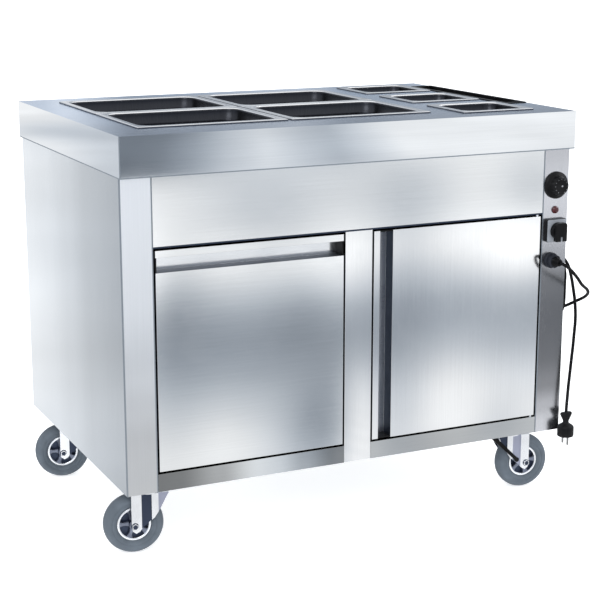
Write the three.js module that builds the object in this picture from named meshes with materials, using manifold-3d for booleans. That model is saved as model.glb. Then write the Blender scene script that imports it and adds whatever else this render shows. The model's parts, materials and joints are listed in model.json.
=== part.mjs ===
// Steam table unit: a stainless bain-marie cart with a wet well for four half-size pans, three small
// sauce pans, a drawer, a hinged cupboard door, a switch panel and four swivel casters.
// Millimetres, +Z up, +X to the right as seen from the operator's side, which faces -Y.
// The parts are laid out from the cabinet's front left corner on the floor. The last lines move the
// whole unit so that its origin is on the floor, in the middle of its footprint without the cord.
import * as THREE from "three";
import { mergeVertices } from "three/addons/utils/BufferGeometryUtils.js";
import Module from "manifold-3d";

const wasm = await Module();
wasm.setup();

// Driving dimensions.
const WIDTH = 1022; // cabinet
const DEPTH = 681;
const CLEARANCE = 155; // floor to the cabinet's lower edge
const CABINET = 636; // lower edge to the underside of the worktop's apron
const APRON = 81;
const SHEET = 1.5;
const GAP = 0.3; // left between pieces that touch
const OVERHANG = { side: 2.5, front: 15, back: 12 };

const POST = 66; // left front post
const CENTRE_POST = [481, 543];
const PANEL = 958; // left edge of the control panel
const RETURN = 25; // folded edge behind a front member
const RAIL = 37; // height of the bottom rails
const FASCIA = 495; // lower edge of the fascia above the cabinet's lower edge
const REVEAL = 4; // gap round the drawer and the door

const LIP = 14; // handle channel: front lip, finger opening and depth
const FINGER = 30;
const CHANNEL = 32;
const EDGE_FOLD = 20;

const HALF_PAN = [325, 264];
const SMALL_PAN = [176, 162];
const PAN_COLUMNS = [231.5, 563.5]; // centre lines of the wet well's two columns of pans
const PAN_ROWS = [217, 483];
const SMALL_COLUMN = 870;
const SMALL_ROWS = [126, 348, 570];
const PAN_SHEET = 1.2;
const PAN_RIM = 15;
const PAN_LIP = 3;

const WHEEL_RADIUS = 62.5;
const TRAIL = 33; // wheel axle behind the swivel axis
const FORK = { inner: 22.5, outer: 25, rib: 2 }; // faces of the side plates, height of their ribs
const PEDAL = { y: [-30.6, -27.4], pivot: [8, 73.5] };
const CASTERS = [
  { name: "front_left", x: 75, y: 87, heading: 170 },
  { name: "front_right", x: WIDTH - 76, y: 87, heading: -4, brake: true },
  { name: "rear_left", x: 75, y: DEPTH - 88, heading: 170 },
  { name: "rear_right", x: WIDTH - 76, y: DEPTH - 88, heading: -4, brake: true },
];

const CONTROL_X = 990; // knob, lamp and switch stand on one vertical line
const KNOB_Z = CLEARANCE + 557;
const LAMP_Z = CLEARANCE + 503;
const SWITCH_Z = CLEARANCE + 459;

// Cut-outs in the worktop for the wet well and for the utensil trough.
const WELL = { x: [80, 715], y: [97, 603], floor: 705, flange: 12 };
const TROUGH = { x: [969, 1017], y: [176, 598], depth: 42 };
const DRAIN = { x: 600, y: 540, radius: 13.5, bore: 11, end: 650 };
const HEATER = {
  radius: 4,
  z: 715,
  studs: [325, 375],
  run: [
    [710, 325], [660, 325], [620, 312], [600, 270], [570, 215], [520, 195], [400, 190], [250, 190],
    [170, 205], [135, 260], [130, 350], [135, 440], [170, 495], [250, 510], [400, 510], [520, 505],
    [570, 485], [600, 430], [620, 388], [660, 375], [710, 375],
  ],
};
const THERMOSTAT = { neck: 5.5, shaft: 3 };
const LAMP = { body: 6 };
const SWITCH = { half: 25, rear: 18, face: -12, boss: 18.5 };
const GRIP = { width: 26, foot: 22, head: 19, reach: 22, notch: 6 }; // the isolator's handle
const GLAND = { x: 983, z: CLEARANCE + 392, thread: 9, nose: 38 };
const HOOK = { y: 44, z: CLEARANCE + 380, wire: 3, reach: 30 };
const HINGE = [948.5, 6]; // the door's vertical axis
const PIN = { radius: 3, head: 4.1 };
const CAP = 3; // black end caps of the handle channels
const RUNNER = { z: 380, height: 45, length: [26, 650], reach: 14, webs: [70, 477] };
const DRAWER_BOX = { x: [86, 461], back: 600, z: [205, 560], tongue: 12 };
const SHELF = { y: [60, DEPTH - 40], z: 420, fold: 20 };

// The cord's centre line, with heights from the cabinet's lower edge, and the plug on its end.
const CORD_DIAMETER = 7;
const CORD_ROUTE = [
  [983, -38.5, 392], [983.5, -50.5, 391], [986.5, -61.5, 387], [992, -70.5, 379],
  [1002.5, -76.5, 364.5], [1016, -72.5, 349.5], [1029.5, -64, 340.5], [1043, -55, 332.5],
  [1054.5, -44.5, 323], [1062, -31.5, 313.5], [1064, -16.5, 303.5], [1059, -2, 294.5],
  [1052.5, 12, 285.5], [1044.5, 26, 277], [1036.5, 41.5, 272.5], [1031.5, 58, 275],
  [1028.5, 72, 285.5], [1028.5, 80.5, 301.5], [1028.5, 82, 319.5], [1028.5, 82, 337.5],
  [1028.5, 81.5, 355], [1028.5, 75, 371.5], [1028.5, 61.5, 383.5], [1028.5, 44, 387],
  [1028.5, 26.5, 383], [1028.5, 13.5, 371], [1028.5, 7, 354.5], [1028.5, 7, 336.5],
  [1028.5, 7, 318.5], [1028.5, 7, 300.5], [1029, 9.5, 282.5], [1029.5, 18, 267],
  [1031.5, 33, 257], [1033.5, 50.5, 254.5], [1035.5, 67, 261], [1037, 79, 274],
  [1037.5, 84.5, 291], [1038, 86, 309], [1038, 86, 327], [1038, 84.5, 345], [1038, 80, 362],
  [1038, 70.5, 377], [1038, 55, 386.5], [1038, 37, 387.5], [1038, 20.5, 381.5],
  [1038, 7, 369.5], [1038, -1.5, 354], [1039, -7, 336.5], [1040.5, -10.5, 319],
  [1042.5, -13, 301.5], [1043.5, -15, 283.5], [1044, -16.5, 265.5], [1043, -18, 247.5],
  [1041.5, -18.5, 229.5], [1040, -19, 212], [1038.5, -19.5, 194], [1036.5, -20, 176],
  [1035, -20, 158], [1033.5, -20, 140], [1032, -20, 122], [1030.5, -20, 104],
  [1029.5, -20, 86.5], [1027.5, -20, 50.5], [1027.5, -20, 44.5],
];
const PLUG = { radius: 18.5, length: 32, waist: 6.5, grip: 14.5 };
const PLUG_PIN = { radius: 2.4, spread: 9.5, length: 19 };

// Levels and planes worked out from them.
const APRON_BOTTOM = CLEARANCE + CABINET;
const TOP = APRON_BOTTOM + APRON;
const UNDER_TOP = TOP - SHEET - GAP;
const FRONTS = [CLEARANCE + RAIL + REVEAL + 0.5, CLEARANCE + FASCIA - REVEAL - 0.5];
const FLOOR_Z = CLEARANCE + RAIL;

const STEEL = { color: 0xc9cdd1, roughness: 0.28, metalness: 1 };
const WORKTOP_STEEL = { color: 0xb9bfcb, roughness: 0.3, metalness: 1 };
const ZINC = { color: 0xdfe3e8, roughness: 0.25, metalness: 1 };
const PAN_STEEL = { color: 0xa9adb2, roughness: 0.22, metalness: 1 };
const BLACK = { color: 0x101113, roughness: 0.45, metalness: 0 };
const DARK_GREY = { color: 0x2b2f36, roughness: 0.5, metalness: 0 };
const TYRE_GREY = { color: 0x737a82, roughness: 0.75, metalness: 0 };
const LAMP_RED = { color: 0x5a1216, roughness: 0.2, metalness: 0 };
const CORD_BLACK = { color: 0x0b0b0c, roughness: 0.6, metalness: 0 };

const unit = new THREE.Group();

// A closed three.js geometry as a solid, with its faces turned outwards.
function solid(geometry) {
  const bare = geometry.clone();
  bare.deleteAttribute("normal");
  bare.deleteAttribute("uv");
  const merged = mergeVertices(bare, 1e-4);
  const vertProperties = new Float32Array(merged.attributes.position.array);
  const triVerts = new Uint32Array(merged.index.array);
  const made = new wasm.Manifold(new wasm.Mesh({ numProp: 3, vertProperties, triVerts }));
  if (made.volume() > 0) return made;
  return new wasm.Manifold(
    new wasm.Mesh({ numProp: 3, vertProperties, triVerts: triVerts.reverse() }),
  );
}

// Names a solid, gives it a finish and adds it to the unit or to a group of its own.
function addPiece(name, body, finish, parent = unit) {
  const mesh = body.getMesh();
  const geometry = new THREE.BufferGeometry();
  geometry.setAttribute("position", new THREE.BufferAttribute(mesh.vertProperties, 3));
  geometry.setIndex(new THREE.BufferAttribute(mesh.triVerts, 1));
  geometry.computeVertexNormals();
  const piece = new THREE.Mesh(geometry, new THREE.MeshStandardMaterial(finish));
  piece.name = name;
  parent.add(piece);
}

function join(...bodies) {
  return bodies.reduce((all, body) => all.add(body));
}

// A box between two limits on each axis.
function block(x, y, z) {
  const box = new THREE.BoxGeometry(2, 2, 2);
  const corners = box.attributes.position;
  const limit = (range, side) => range[side > 0 ? 1 : 0];
  for (let i = 0; i < corners.count; i++) {
    const [sideX, sideY, sideZ] = [corners.getX(i), corners.getY(i), corners.getZ(i)];
    corners.setXYZ(i, limit(x, sideX), limit(y, sideY), limit(z, sideZ));
  }
  return solid(box);
}

// A round bar between two points that lie on a line along one axis.
function rod(radius, from, to, sides = 16) {
  const start = new THREE.Vector3(...from);
  const end = new THREE.Vector3(...to);
  const along = end.clone().sub(start);
  const bar = new THREE.CylinderGeometry(radius, radius, along.length(), sides);
  const up = new THREE.Vector3(0, 1, 0);
  bar.applyQuaternion(new THREE.Quaternion().setFromUnitVectors(up, along.clone().normalize()));
  const middle = start.add(end).multiplyScalar(0.5);
  return solid(bar.translate(middle.x, middle.y, middle.z));
}

// A profile of [radius, height] points turned about the Y axis, which suits knobs and wheels, or
// about the Z axis when it is to stand upright.
function turned(profile, sides = 24, stance = "level") {
  const points = profile.map(([r, y]) => new THREE.Vector2(r, y));
  const lathe = new THREE.LatheGeometry(points, sides);
  return solid(stance === "vertical" ? lathe.rotateX(Math.PI / 2) : lathe);
}

// An outline of [x, y] points raised from one height to another.
function upright(outline, [z0, z1]) {
  const shape = new THREE.Shape(outline.map(([x, y]) => new THREE.Vector2(x, y)));
  const prism = new THREE.ExtrudeGeometry(shape, { depth: z1 - z0, bevelEnabled: false });
  return solid(prism.translate(0, 0, z0));
}

// An outline of [x, z] points, thick from one y to another.
function sideways(outline, [y0, y1]) {
  const shape = new THREE.Shape(outline.map(([x, z]) => new THREE.Vector2(x, z)));
  const prism = new THREE.ExtrudeGeometry(shape, { depth: y1 - y0, bevelEnabled: false });
  return solid(prism.rotateX(Math.PI / 2).translate(0, y1, 0));
}

// One horizontal ring of a rounded rectangle.
function roundedRing(halfX, halfY, radius, z) {
  const steps = 3;
  const signs = [[1, 1], [-1, 1], [-1, -1], [1, -1]];
  return signs.flatMap(([sx, sy], corner) =>
    Array.from({ length: steps + 1 }, (_, i) => {
      const angle = ((corner + i / steps) * Math.PI) / 2;
      const x = sx * (halfX - radius) + radius * Math.cos(angle);
      const y = sy * (halfY - radius) + radius * Math.sin(angle);
      return new THREE.Vector3(x, y, z);
    }),
  );
}

// Skins a stack of rings and closes the first and the last of them.
function loft(rings) {
  const count = rings[0].length;
  const vertices = rings.flat();
  const index = [];
  for (let r = 0; r + 1 < rings.length; r++) {
    for (let i = 0; i < count; i++) {
      const a = r * count + i;
      const b = r * count + ((i + 1) % count);
      index.push(a, b, b + count, a, b + count, a + count);
    }
  }
  const last = (rings.length - 1) * count;
  for (let i = 1; i + 1 < count; i++) {
    index.push(0, i + 1, i);
    index.push(last, last + i, last + i + 1);
  }
  const geometry = new THREE.BufferGeometry().setFromPoints(vertices);
  geometry.setIndex(index);
  return solid(geometry);
}

// An open tub with a flange round its mouth; lip is how far the flange's edge is turned down.
function tub({ halfX, halfY, top, depth, sheet, flange, draft = 0, radius, lip = 0 }) {
  const ring = (inset, z, r) => roundedRing(halfX - inset, halfY - inset, r, z);
  const wall = flange - sheet;
  const edge = Math.max(radius - flange, 4);
  const rings = [
    ring(flange + draft, top - depth + sheet, radius),
    ring(flange, top, radius),
    ring(0, top, edge),
  ];
  if (lip) {
    rings.push(ring(0, top - lip, edge));
    rings.push(ring(sheet, top - lip, edge - sheet));
    rings.push(ring(sheet, top - sheet, edge - sheet));
  } else {
    rings.push(ring(0, top - sheet, edge));
  }
  rings.push(ring(wall, top - sheet, radius + sheet));
  rings.push(ring(wall + draft, top - depth, radius + sheet));
  return loft(rings);
}

// The worktop sheet with its apron, folded under at the front and at the back.
function addWorktop() {
  const x = [-OVERHANG.side, WIDTH + OVERHANG.side];
  const y = [-OVERHANG.front, DEPTH + OVERHANG.back];
  const cut = [TOP - 2 * SHEET, TOP + SHEET];
  const inside = ([low, high]) => [low + SHEET, high - SHEET];
  const hollow = block(inside(x), inside(y), [APRON_BOTTOM + SHEET, TOP - SHEET]);
  const mouth = block(inside(x), [-GAP, DEPTH + GAP], [APRON_BOTTOM - SHEET, TOP - 2 * SHEET]);
  let top = block(x, y, [APRON_BOTTOM, TOP]).subtract(hollow).subtract(mouth);
  top = top.subtract(block(WELL.x, WELL.y, cut));
  top = top.subtract(block(TROUGH.x, TROUGH.y, cut));
  const [halfX, halfY] = SMALL_PAN.map((size) => size / 2 - PAN_RIM + 3);
  for (const row of SMALL_ROWS) {
    const mouth = [[SMALL_COLUMN - halfX, SMALL_COLUMN + halfX], [row - halfY, row + halfY]];
    top = top.subtract(block(...mouth, cut));
  }
  addPiece("worktop", top, WORKTOP_STEEL);
}

// The tank that holds the hot water, with a capped drain under it and two holes for the heater.
function addWetWell() {
  const { x, y, floor, flange } = WELL;
  const tank = tub({
    halfX: (x[1] - x[0]) / 2 + flange,
    halfY: (y[1] - y[0]) / 2 + flange,
    top: UNDER_TOP,
    depth: UNDER_TOP - floor + SHEET,
    sheet: SHEET,
    flange,
    radius: 20,
  }).translate([(x[0] + x[1]) / 2, (y[0] + y[1]) / 2, 0]);
  const at = (z) => [DRAIN.x, DRAIN.y, z];
  const pipe = rod(DRAIN.radius, at(DRAIN.end), at(floor - SHEET / 2));
  const nut = rod(DRAIN.radius + 8, at(DRAIN.end), at(DRAIN.end + 16), 6);
  let body = join(tank, pipe, nut).subtract(rod(DRAIN.bore, at(DRAIN.end + 6), at(floor + 5)));
  for (const stud of HEATER.studs) {
    const hole = rod(HEATER.radius + 1.5, [x[1] - 5, stud, HEATER.z], [x[1] + 5, stud, HEATER.z]);
    body = body.subtract(hole);
  }
  addPiece("wet_well", body, STEEL);
}

// A long bar between the two columns of pans and a cross bar between the two rows.
function addPanSupport() {
  const half = 11;
  const level = [TOP - 6, TOP];
  const middleX = (PAN_COLUMNS[0] + PAN_COLUMNS[1]) / 2;
  const middleY = (PAN_ROWS[0] + PAN_ROWS[1]) / 2;
  const inside = ([low, high]) => [low + GAP, high - GAP];
  const support = join(
    block([middleX - half, middleX + half], inside(WELL.y), level),
    block(inside(WELL.x), [middleY - half, middleY + half], level),
  );
  addPiece("pan_support_cross", support, STEEL);
}

// The dry well under the three small pans.
function addSauceWell() {
  const well = tub({
    halfX: 88,
    halfY: 302,
    top: UNDER_TOP,
    depth: 150,
    sheet: SHEET,
    flange: 6,
    radius: 12,
  });
  const row = (SMALL_ROWS[0] + SMALL_ROWS[2]) / 2;
  addPiece("sauce_well", well.translate([SMALL_COLUMN, row, 0]), STEEL);
}

function addUtensilTrough() {
  const moulding = 2;
  const rim = 5;
  const trough = tub({
    halfX: (TROUGH.x[1] - TROUGH.x[0]) / 2 + rim,
    halfY: (TROUGH.y[1] - TROUGH.y[0]) / 2 + rim,
    top: TOP + GAP + moulding,
    depth: TROUGH.depth,
    sheet: moulding,
    flange: rim + 1 + moulding,
    radius: 5,
  });
  const centre = [(TROUGH.x[0] + TROUGH.x[1]) / 2, (TROUGH.y[0] + TROUGH.y[1]) / 2, 0];
  addPiece("utensil_trough", trough.translate(centre), BLACK);
}

// Both rows of half-size pans and the three small ones, each free to lift out.
function addPans() {
  const rows = ["front", "rear"];
  const columns = ["left", "right"];
  rows.forEach((row, r) =>
    columns.forEach((column, c) => {
      const pan = gastronormPan(HALF_PAN, 150, 30);
      addPiece(`pan_${row}_${column}`, pan.translate([PAN_COLUMNS[c], PAN_ROWS[r], 0]), PAN_STEEL);
    }),
  );
  ["front", "middle", "rear"].forEach((row, r) => {
    const pan = gastronormPan(SMALL_PAN, 105, 22);
    addPiece(`small_pan_${row}`, pan.translate([SMALL_COLUMN, SMALL_ROWS[r], 0]), PAN_STEEL);
  });
}

function gastronormPan([length, width], depth, radius) {
  return tub({
    halfX: length / 2,
    halfY: width / 2,
    top: TOP + GAP + PAN_LIP,
    depth,
    sheet: PAN_SHEET,
    flange: PAN_RIM,
    draft: 5,
    radius,
    lip: PAN_LIP,
  });
}

// An immersed tube that runs once round the floor of the well, from a head on its right wall.
function addHeatingElement() {
  const { radius, z, studs, run } = HEATER;
  const route = new THREE.CatmullRomCurve3(run.map(([x, y]) => new THREE.Vector3(x, y, z)));
  const section = new THREE.Shape().absarc(0, 0, radius, 0, 2 * Math.PI);
  const tube = solid(
    new THREE.ExtrudeGeometry(section, { extrudePath: route, steps: 38, curveSegments: 4 }),
  );
  const wall = WELL.x[1];
  const head = block([wall - 9, wall - GAP], [studs[0] - 22, studs[1] + 22], [z - 8.5, z + 8.5]);
  const terminals = studs.map((y) => rod(radius + 1, [wall - 5, y, z], [wall + 22, y, z]));
  addPiece("heating_element", join(tube, head, ...terminals), ZINC);
}

// The left side and the left front post are one folded sheet.
function addLeftSidePanel() {
  const outline = [
    [0, 0], [POST, 0], [POST, RETURN], [POST - SHEET, RETURN],
    [POST - SHEET, SHEET], [SHEET, SHEET], [SHEET, DEPTH], [0, DEPTH],
  ];
  addPiece("left_side_panel", upright(outline, [CLEARANCE, UNDER_TOP]), STEEL);
}

function addRightSidePanel() {
  const front = SHEET + GAP;
  const fold = 12;
  const outline = [
    [WIDTH, front], [WIDTH, DEPTH], [WIDTH - SHEET, DEPTH], [WIDTH - SHEET, front + SHEET],
    [WIDTH - fold, front + SHEET], [WIDTH - fold, front],
  ];
  addPiece("right_side_panel", upright(outline, [CLEARANCE, UNDER_TOP]), STEEL);
}

function addBackPanel() {
  const x = [SHEET + GAP, WIDTH - SHEET - GAP];
  const fold = 20;
  const outline = [
    [x[0], DEPTH - fold], [x[0] + SHEET, DEPTH - fold], [x[0] + SHEET, DEPTH - SHEET],
    [x[1] - SHEET, DEPTH - SHEET], [x[1] - SHEET, DEPTH - fold], [x[1], DEPTH - fold],
    [x[1], DEPTH], [x[0], DEPTH],
  ];
  addPiece("back_panel", upright(outline, [CLEARANCE, UNDER_TOP]), STEEL);
}

// The strip that carries the controls, with a hole for each of them.
function addControlPanel() {
  const outline = [
    [PANEL, 0], [WIDTH, 0], [WIDTH, SHEET], [PANEL + SHEET, SHEET],
    [PANEL + SHEET, RETURN], [PANEL, RETURN],
  ];
  const through = (radius, x, z) => rod(radius, [x, -SHEET, z], [x, 2 * SHEET, z]);
  let panel = upright(outline, [CLEARANCE, UNDER_TOP]);
  panel = panel.subtract(through(THERMOSTAT.neck + GAP, CONTROL_X, KNOB_Z));
  panel = panel.subtract(through(LAMP.body + GAP, CONTROL_X, LAMP_Z));
  panel = panel.subtract(through(GLAND.thread + GAP, GLAND.x, GLAND.z));
  const half = SWITCH.rear + GAP;
  const square = [[CONTROL_X - half, CONTROL_X + half], [-SHEET, 2 * SHEET]];
  panel = panel.subtract(block(...square, [SWITCH_Z - half, SWITCH_Z + half]));
  addPiece("control_panel", panel, STEEL);
}

function addCentrePost() {
  const [x0, x1] = CENTRE_POST;
  const outline = [
    [x0, 0], [x1, 0], [x1, RETURN], [x1 - SHEET, RETURN],
    [x1 - SHEET, SHEET], [x0 + SHEET, SHEET], [x0 + SHEET, RETURN], [x0, RETURN],
  ];
  addPiece("centre_post", upright(outline, [CLEARANCE, CLEARANCE + FASCIA - GAP]), STEEL);
}

function addFascia() {
  const x = [POST + GAP, PANEL - GAP];
  const bottom = CLEARANCE + FASCIA;
  const sheet = block(x, [0, SHEET], [bottom, UNDER_TOP]);
  const fold = block(x, [0, RETURN], [bottom, bottom + SHEET]);
  const [px, py] = HINGE;
  const hole = rod(PIN.radius + GAP, [px, py, bottom - 2], [px, py, bottom + 4]);
  addPiece("fascia", join(sheet, fold).subtract(hole), STEEL);
}

// Cabinet floor, folded down at the front into the two bottom rails, with a channel under each
// pair of casters.
function addBasePanel() {
  const inset = 2 * (SHEET + GAP);
  const floor = [FLOOR_Z - SHEET, FLOOR_Z];
  const bays = [[POST + GAP, CENTRE_POST[0] - GAP], [CENTRE_POST[1] + GAP, PANEL - GAP]];
  const pieces = [block([inset, WIDTH - inset], [RETURN + GAP, DEPTH - SHEET - GAP], floor)];
  for (const bay of bays) {
    pieces.push(block(bay, [0, RETURN + 1], floor));
    pieces.push(block(bay, [0, SHEET], [CLEARANCE, FLOOR_Z]));
  }
  const half = 52;
  const length = [RETURN + 5, DEPTH - 40];
  for (const x of [CASTERS[0].x, CASTERS[1].x]) {
    const walls = [[x - half, x - half + 2], [x + half - 2, x + half]];
    pieces.push(block([x - half, x + half], length, [CLEARANCE, CLEARANCE + 2]));
    for (const wall of walls) pieces.push(block(wall, length, [CLEARANCE, FLOOR_Z - SHEET / 2]));
  }
  const [px, py] = HINGE;
  const hole = rod(PIN.radius + GAP, [px, py, FLOOR_Z - 4], [px, py, FLOOR_Z + 2]);
  addPiece("base_panel", join(...pieces).subtract(hole), STEEL);
}

function addPartition() {
  const x = (CENTRE_POST[0] + CENTRE_POST[1]) / 2;
  const y = [SHEET + GAP, DEPTH - SHEET - GAP];
  const top = CLEARANCE + FASCIA - 1;
  const wall = block([x, x + SHEET], y, [FLOOR_Z + GAP, top]);
  const fold = block([x, x + 20], [RETURN + 5, y[1]], [top - SHEET, top]);
  addPiece("centre_partition", join(wall, fold), STEEL);
}

function addShelf() {
  const x = [(CENTRE_POST[0] + CENTRE_POST[1]) / 2 + SHEET + GAP, WIDTH - SHEET - GAP];
  const { y, z, fold } = SHELF;
  const shelf = join(
    block(x, y, [z - SHEET, z]),
    block(x, [y[0], y[0] + SHEET], [z - fold, z]),
    block(x, [y[1] - SHEET, y[1]], [z - fold, z]),
  );
  addPiece("cupboard_shelf", shelf, STEEL);
}

// Fixed drawer rails, each on two brackets to the wall beside it.
function addRunners() {
  const { z, height, length, reach, webs } = RUNNER;
  const partition = (CENTRE_POST[0] + CENTRE_POST[1]) / 2;
  const sides = [
    { name: "runner_left", web: webs[0], inward: 1, wall: SHEET + GAP },
    { name: "runner_right", web: webs[1], inward: -1, wall: partition - GAP },
  ];
  const span = (a, b) => [Math.min(a, b), Math.max(a, b)];
  for (const { name, web, inward, wall } of sides) {
    const across = span(web, web + inward * reach);
    const parts = [
      block(span(web, web + inward * SHEET), length, [z, z + height]),
      block(across, length, [z, z + SHEET]),
      block(across, length, [z + height - SHEET, z + height]),
    ];
    for (const y of [length[0] + 40, length[1] - 90]) {
      parts.push(block(span(web + inward * SHEET / 2, wall), [y, y + 30], [z + 15, z + 30]));
    }
    addPiece(name, join(...parts), ZINC);
  }
}

// The drawer's front, with its handle channel across the top.
function addDrawerFront() {
  const [x0, x1] = [POST + REVEAL, CENTRE_POST[0] - REVEAL];
  const [z0, z1] = FRONTS;
  const mouth = z1 - LIP - FINGER;
  const front = join(
    block([x0, x1], [0, SHEET], [z0, mouth]),
    block([x0, x1], [0, CHANNEL], [mouth - SHEET, mouth]),
    block([x0, x1], [CHANNEL - SHEET, CHANNEL], [mouth - SHEET, z1]),
    block([x0, x1], [0, CHANNEL], [z1 - SHEET, z1]),
    block([x0, x1], [0, SHEET], [z1 - LIP, z1]),
    block([x0, x1], [0, EDGE_FOLD], [z0, z0 + SHEET]),
    block([x0, x0 + SHEET], [0, EDGE_FOLD], [z0, mouth]),
    block([x1 - SHEET, x1], [0, EDGE_FOLD], [z0, mouth]),
  );
  addPiece("drawer_front", front, STEEL);
  const y = [SHEET + GAP, CHANNEL - SHEET - GAP];
  const z = [mouth + GAP, z1 - SHEET - GAP];
  addPiece("drawer_cap_left", block([x0, x0 + CAP], y, z), BLACK);
  addPiece("drawer_cap_right", block([x1 - CAP, x1], y, z), BLACK);
}

// An open tray whose side tongues ride inside the rails.
function addDrawerBox() {
  const { x, back, z, tongue } = DRAWER_BOX;
  const y = [EDGE_FOLD + GAP, back];
  const inner = ([low, high]) => [low + SHEET, high - SHEET];
  const rail = [RUNNER.z + SHEET + 2.5, RUNNER.z + SHEET + 11.5];
  const slide = [y[0] + 5, y[1]];
  const tray = block(x, y, z).subtract(block(inner(x), inner(y), [z[0] + SHEET, z[1] + 5]));
  const box = join(
    tray,
    block([x[0] - tongue, x[0] + SHEET / 2], slide, rail),
    block([x[1] - SHEET / 2, x[1] + tongue], slide, rail),
  );
  addPiece("drawer_box", box, STEEL);
}

// The door has the same channel, upright, on the edge away from its hinge.
function addDoor() {
  const [x0, x1] = [CENTRE_POST[1] + REVEAL, PANEL - REVEAL];
  const [z0, z1] = FRONTS;
  const mouth = x0 + LIP + FINGER;
  const [px, py] = HINGE;
  const tall = [z0, z1];
  const panel = join(
    block([mouth, x1], [0, SHEET], tall),
    block([mouth, mouth + SHEET], [0, CHANNEL], tall),
    block([x0, mouth + SHEET], [CHANNEL - SHEET, CHANNEL], tall),
    block([x0, x0 + SHEET], [0, CHANNEL], tall),
    block([x0, x0 + LIP], [0, SHEET], tall),
    block([mouth, x1], [0, EDGE_FOLD], [z0, z0 + SHEET]),
    block([mouth, x1], [0, EDGE_FOLD], [z1 - SHEET, z1]),
    block([x1 - SHEET, x1], [0, EDGE_FOLD], tall),
  ).subtract(rod(PIN.radius + GAP, [px, py, z0 - 5], [px, py, z1 + 5]));
  addPiece("door_panel", panel, STEEL);
  const x = [x0 + SHEET + GAP, mouth - GAP];
  const y = [SHEET + GAP, CHANNEL - SHEET - GAP];
  addPiece("door_cap_bottom", block(x, y, [z0, z0 + CAP]), BLACK);
  addPiece("door_cap_top", block(x, y, [z1 - CAP, z1]), BLACK);
}

// Headed pins through the fascia's fold and the cabinet floor, which the door turns on.
function addDoorPins() {
  const [x, y] = HINGE;
  const { radius, head } = PIN;
  const top = CLEARANCE + FASCIA + SHEET + GAP;
  const bottom = FLOOR_Z - SHEET - GAP;
  const at = (z) => [x, y, z];
  const upper = join(rod(radius, at(FRONTS[1] - 9), at(top + 1)), rod(head, at(top), at(top + 3)));
  const lower = join(
    rod(radius, at(bottom - 1), at(FRONTS[0] + 9)),
    rod(head, at(bottom - 3), at(bottom)),
  );
  addPiece("door_pin_top", upper, ZINC);
  addPiece("door_pin_bottom", lower, ZINC);
}

function addThermostat() {
  const { neck, shaft } = THERMOSTAT;
  const at = (y) => [CONTROL_X, y, KNOB_Z];
  const behind = SHEET + GAP;
  const housing = block([CONTROL_X - 20, CONTROL_X + 20], [behind, 40], [KNOB_Z - 22, KNOB_Z + 22]);
  const body = join(housing, rod(neck, at(-0.7), at(behind + 1)));
  addPiece("thermostat_body", body.subtract(rod(shaft + 0.5, at(-2), at(26))), DARK_GREY);
  const knob = turned([
    [0, 22], [shaft, 22], [shaft, -1], [29.5, -1], [29.5, -4], [27.5, -6.5], [21.5, -8.5],
    [19.5, -20], [17.5, -21.5], [0, -21.5],
  ]);
  addPiece("thermostat_knob", knob.translate([CONTROL_X, 0, KNOB_Z]), BLACK);
}

function addLamp() {
  const { body } = LAMP;
  const lamp = turned([
    [0, 24], [body, 24], [body, -GAP], [8.2, -GAP], [8.2, -1.8], [7.2, -4], [4.5, -5.6], [0, -6.2],
  ], 16);
  addPiece("indicator_lamp", lamp.translate([CONTROL_X, 0, LAMP_Z]), LAMP_RED);
}

function addSwitch() {
  const { half, rear, face, boss } = SWITCH;
  const around = (size) => [
    [CONTROL_X - size, CONTROL_X + size],
    [SWITCH_Z - size, SWITCH_Z + size],
  ];
  const at = (y) => [CONTROL_X, y, SWITCH_Z];
  const [plateX, plateZ] = around(half);
  const [rearX, rearZ] = around(rear);
  const base = join(
    block(plateX, [face, -GAP], plateZ),
    block(rearX, [face / 2, 42], rearZ),
  ).subtract(rod(5, at(face - 2), at(-2)));
  addPiece("isolator_switch", base, DARK_GREY);
  const front = face - GAP;
  const { width, foot, head, reach, notch } = GRIP;
  const across = [CONTROL_X - width / 2, CONTROL_X + width / 2];
  const handle = join(
    rod(boss, at(front - 10), at(front), 28),
    block(across, [front - reach, front - 8], [SWITCH_Z - foot, SWITCH_Z + head]),
    rod(4.4, at(front - 1), at(-3.5)),
  );
  const slot = block(
    [CONTROL_X - notch / 2, CONTROL_X + notch / 2],
    [front - reach - 1, front - reach + 6],
    [SWITCH_Z - foot - 1, SWITCH_Z - foot + 11],
  );
  addPiece("isolator_handle", handle.subtract(slot), BLACK);
}

function addCableGland() {
  const { thread, nose } = GLAND;
  const gland = turned([
    [0, 16], [thread, 16], [thread, 8], [14, 8], [14, SHEET + GAP], [thread, SHEET + GAP],
    [thread, -GAP], [17, -GAP], [17, -7], [15.2, -8.5], [15.2, -20], [11, -23], [9, -27],
    [5.4, -nose], [0, -nose],
  ], 16);
  addPiece("cable_gland", gland.translate([GLAND.x, 0, GLAND.z]), DARK_GREY);
}

function addCordHook() {
  const x = WIDTH + GAP;
  const { y, z, wire, reach } = HOOK;
  const hook = join(
    block([x, x + 2], [y - 14, y + 14], [z - 20, z + 20]),
    rod(wire, [x + 1, y, z], [x + reach, y, z], 12),
    rod(wire, [x + reach - wire, y, z - wire], [x + reach - wire, y, z + 18], 12),
  );
  addPiece("cord_hook", hook, ZINC);
}

// The mains lead: out of the gland, one slack bight to the right, twice round over the hook on the
// side of the cabinet, then down to its plug.
function addCord() {
  const points = CORD_ROUTE.map(([x, y, z]) => new THREE.Vector3(x, y, z + CLEARANCE));
  const route = new THREE.CatmullRomCurve3(points);
  const section = new THREE.Shape().absarc(0, 0, CORD_DIAMETER / 2, 0, 2 * Math.PI);
  const tube = new THREE.ExtrudeGeometry(section, {
    extrudePath: route,
    steps: 78,
    curveSegments: 4,
  });
  addPiece("power_cord", solid(tube), CORD_BLACK);
}

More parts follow.
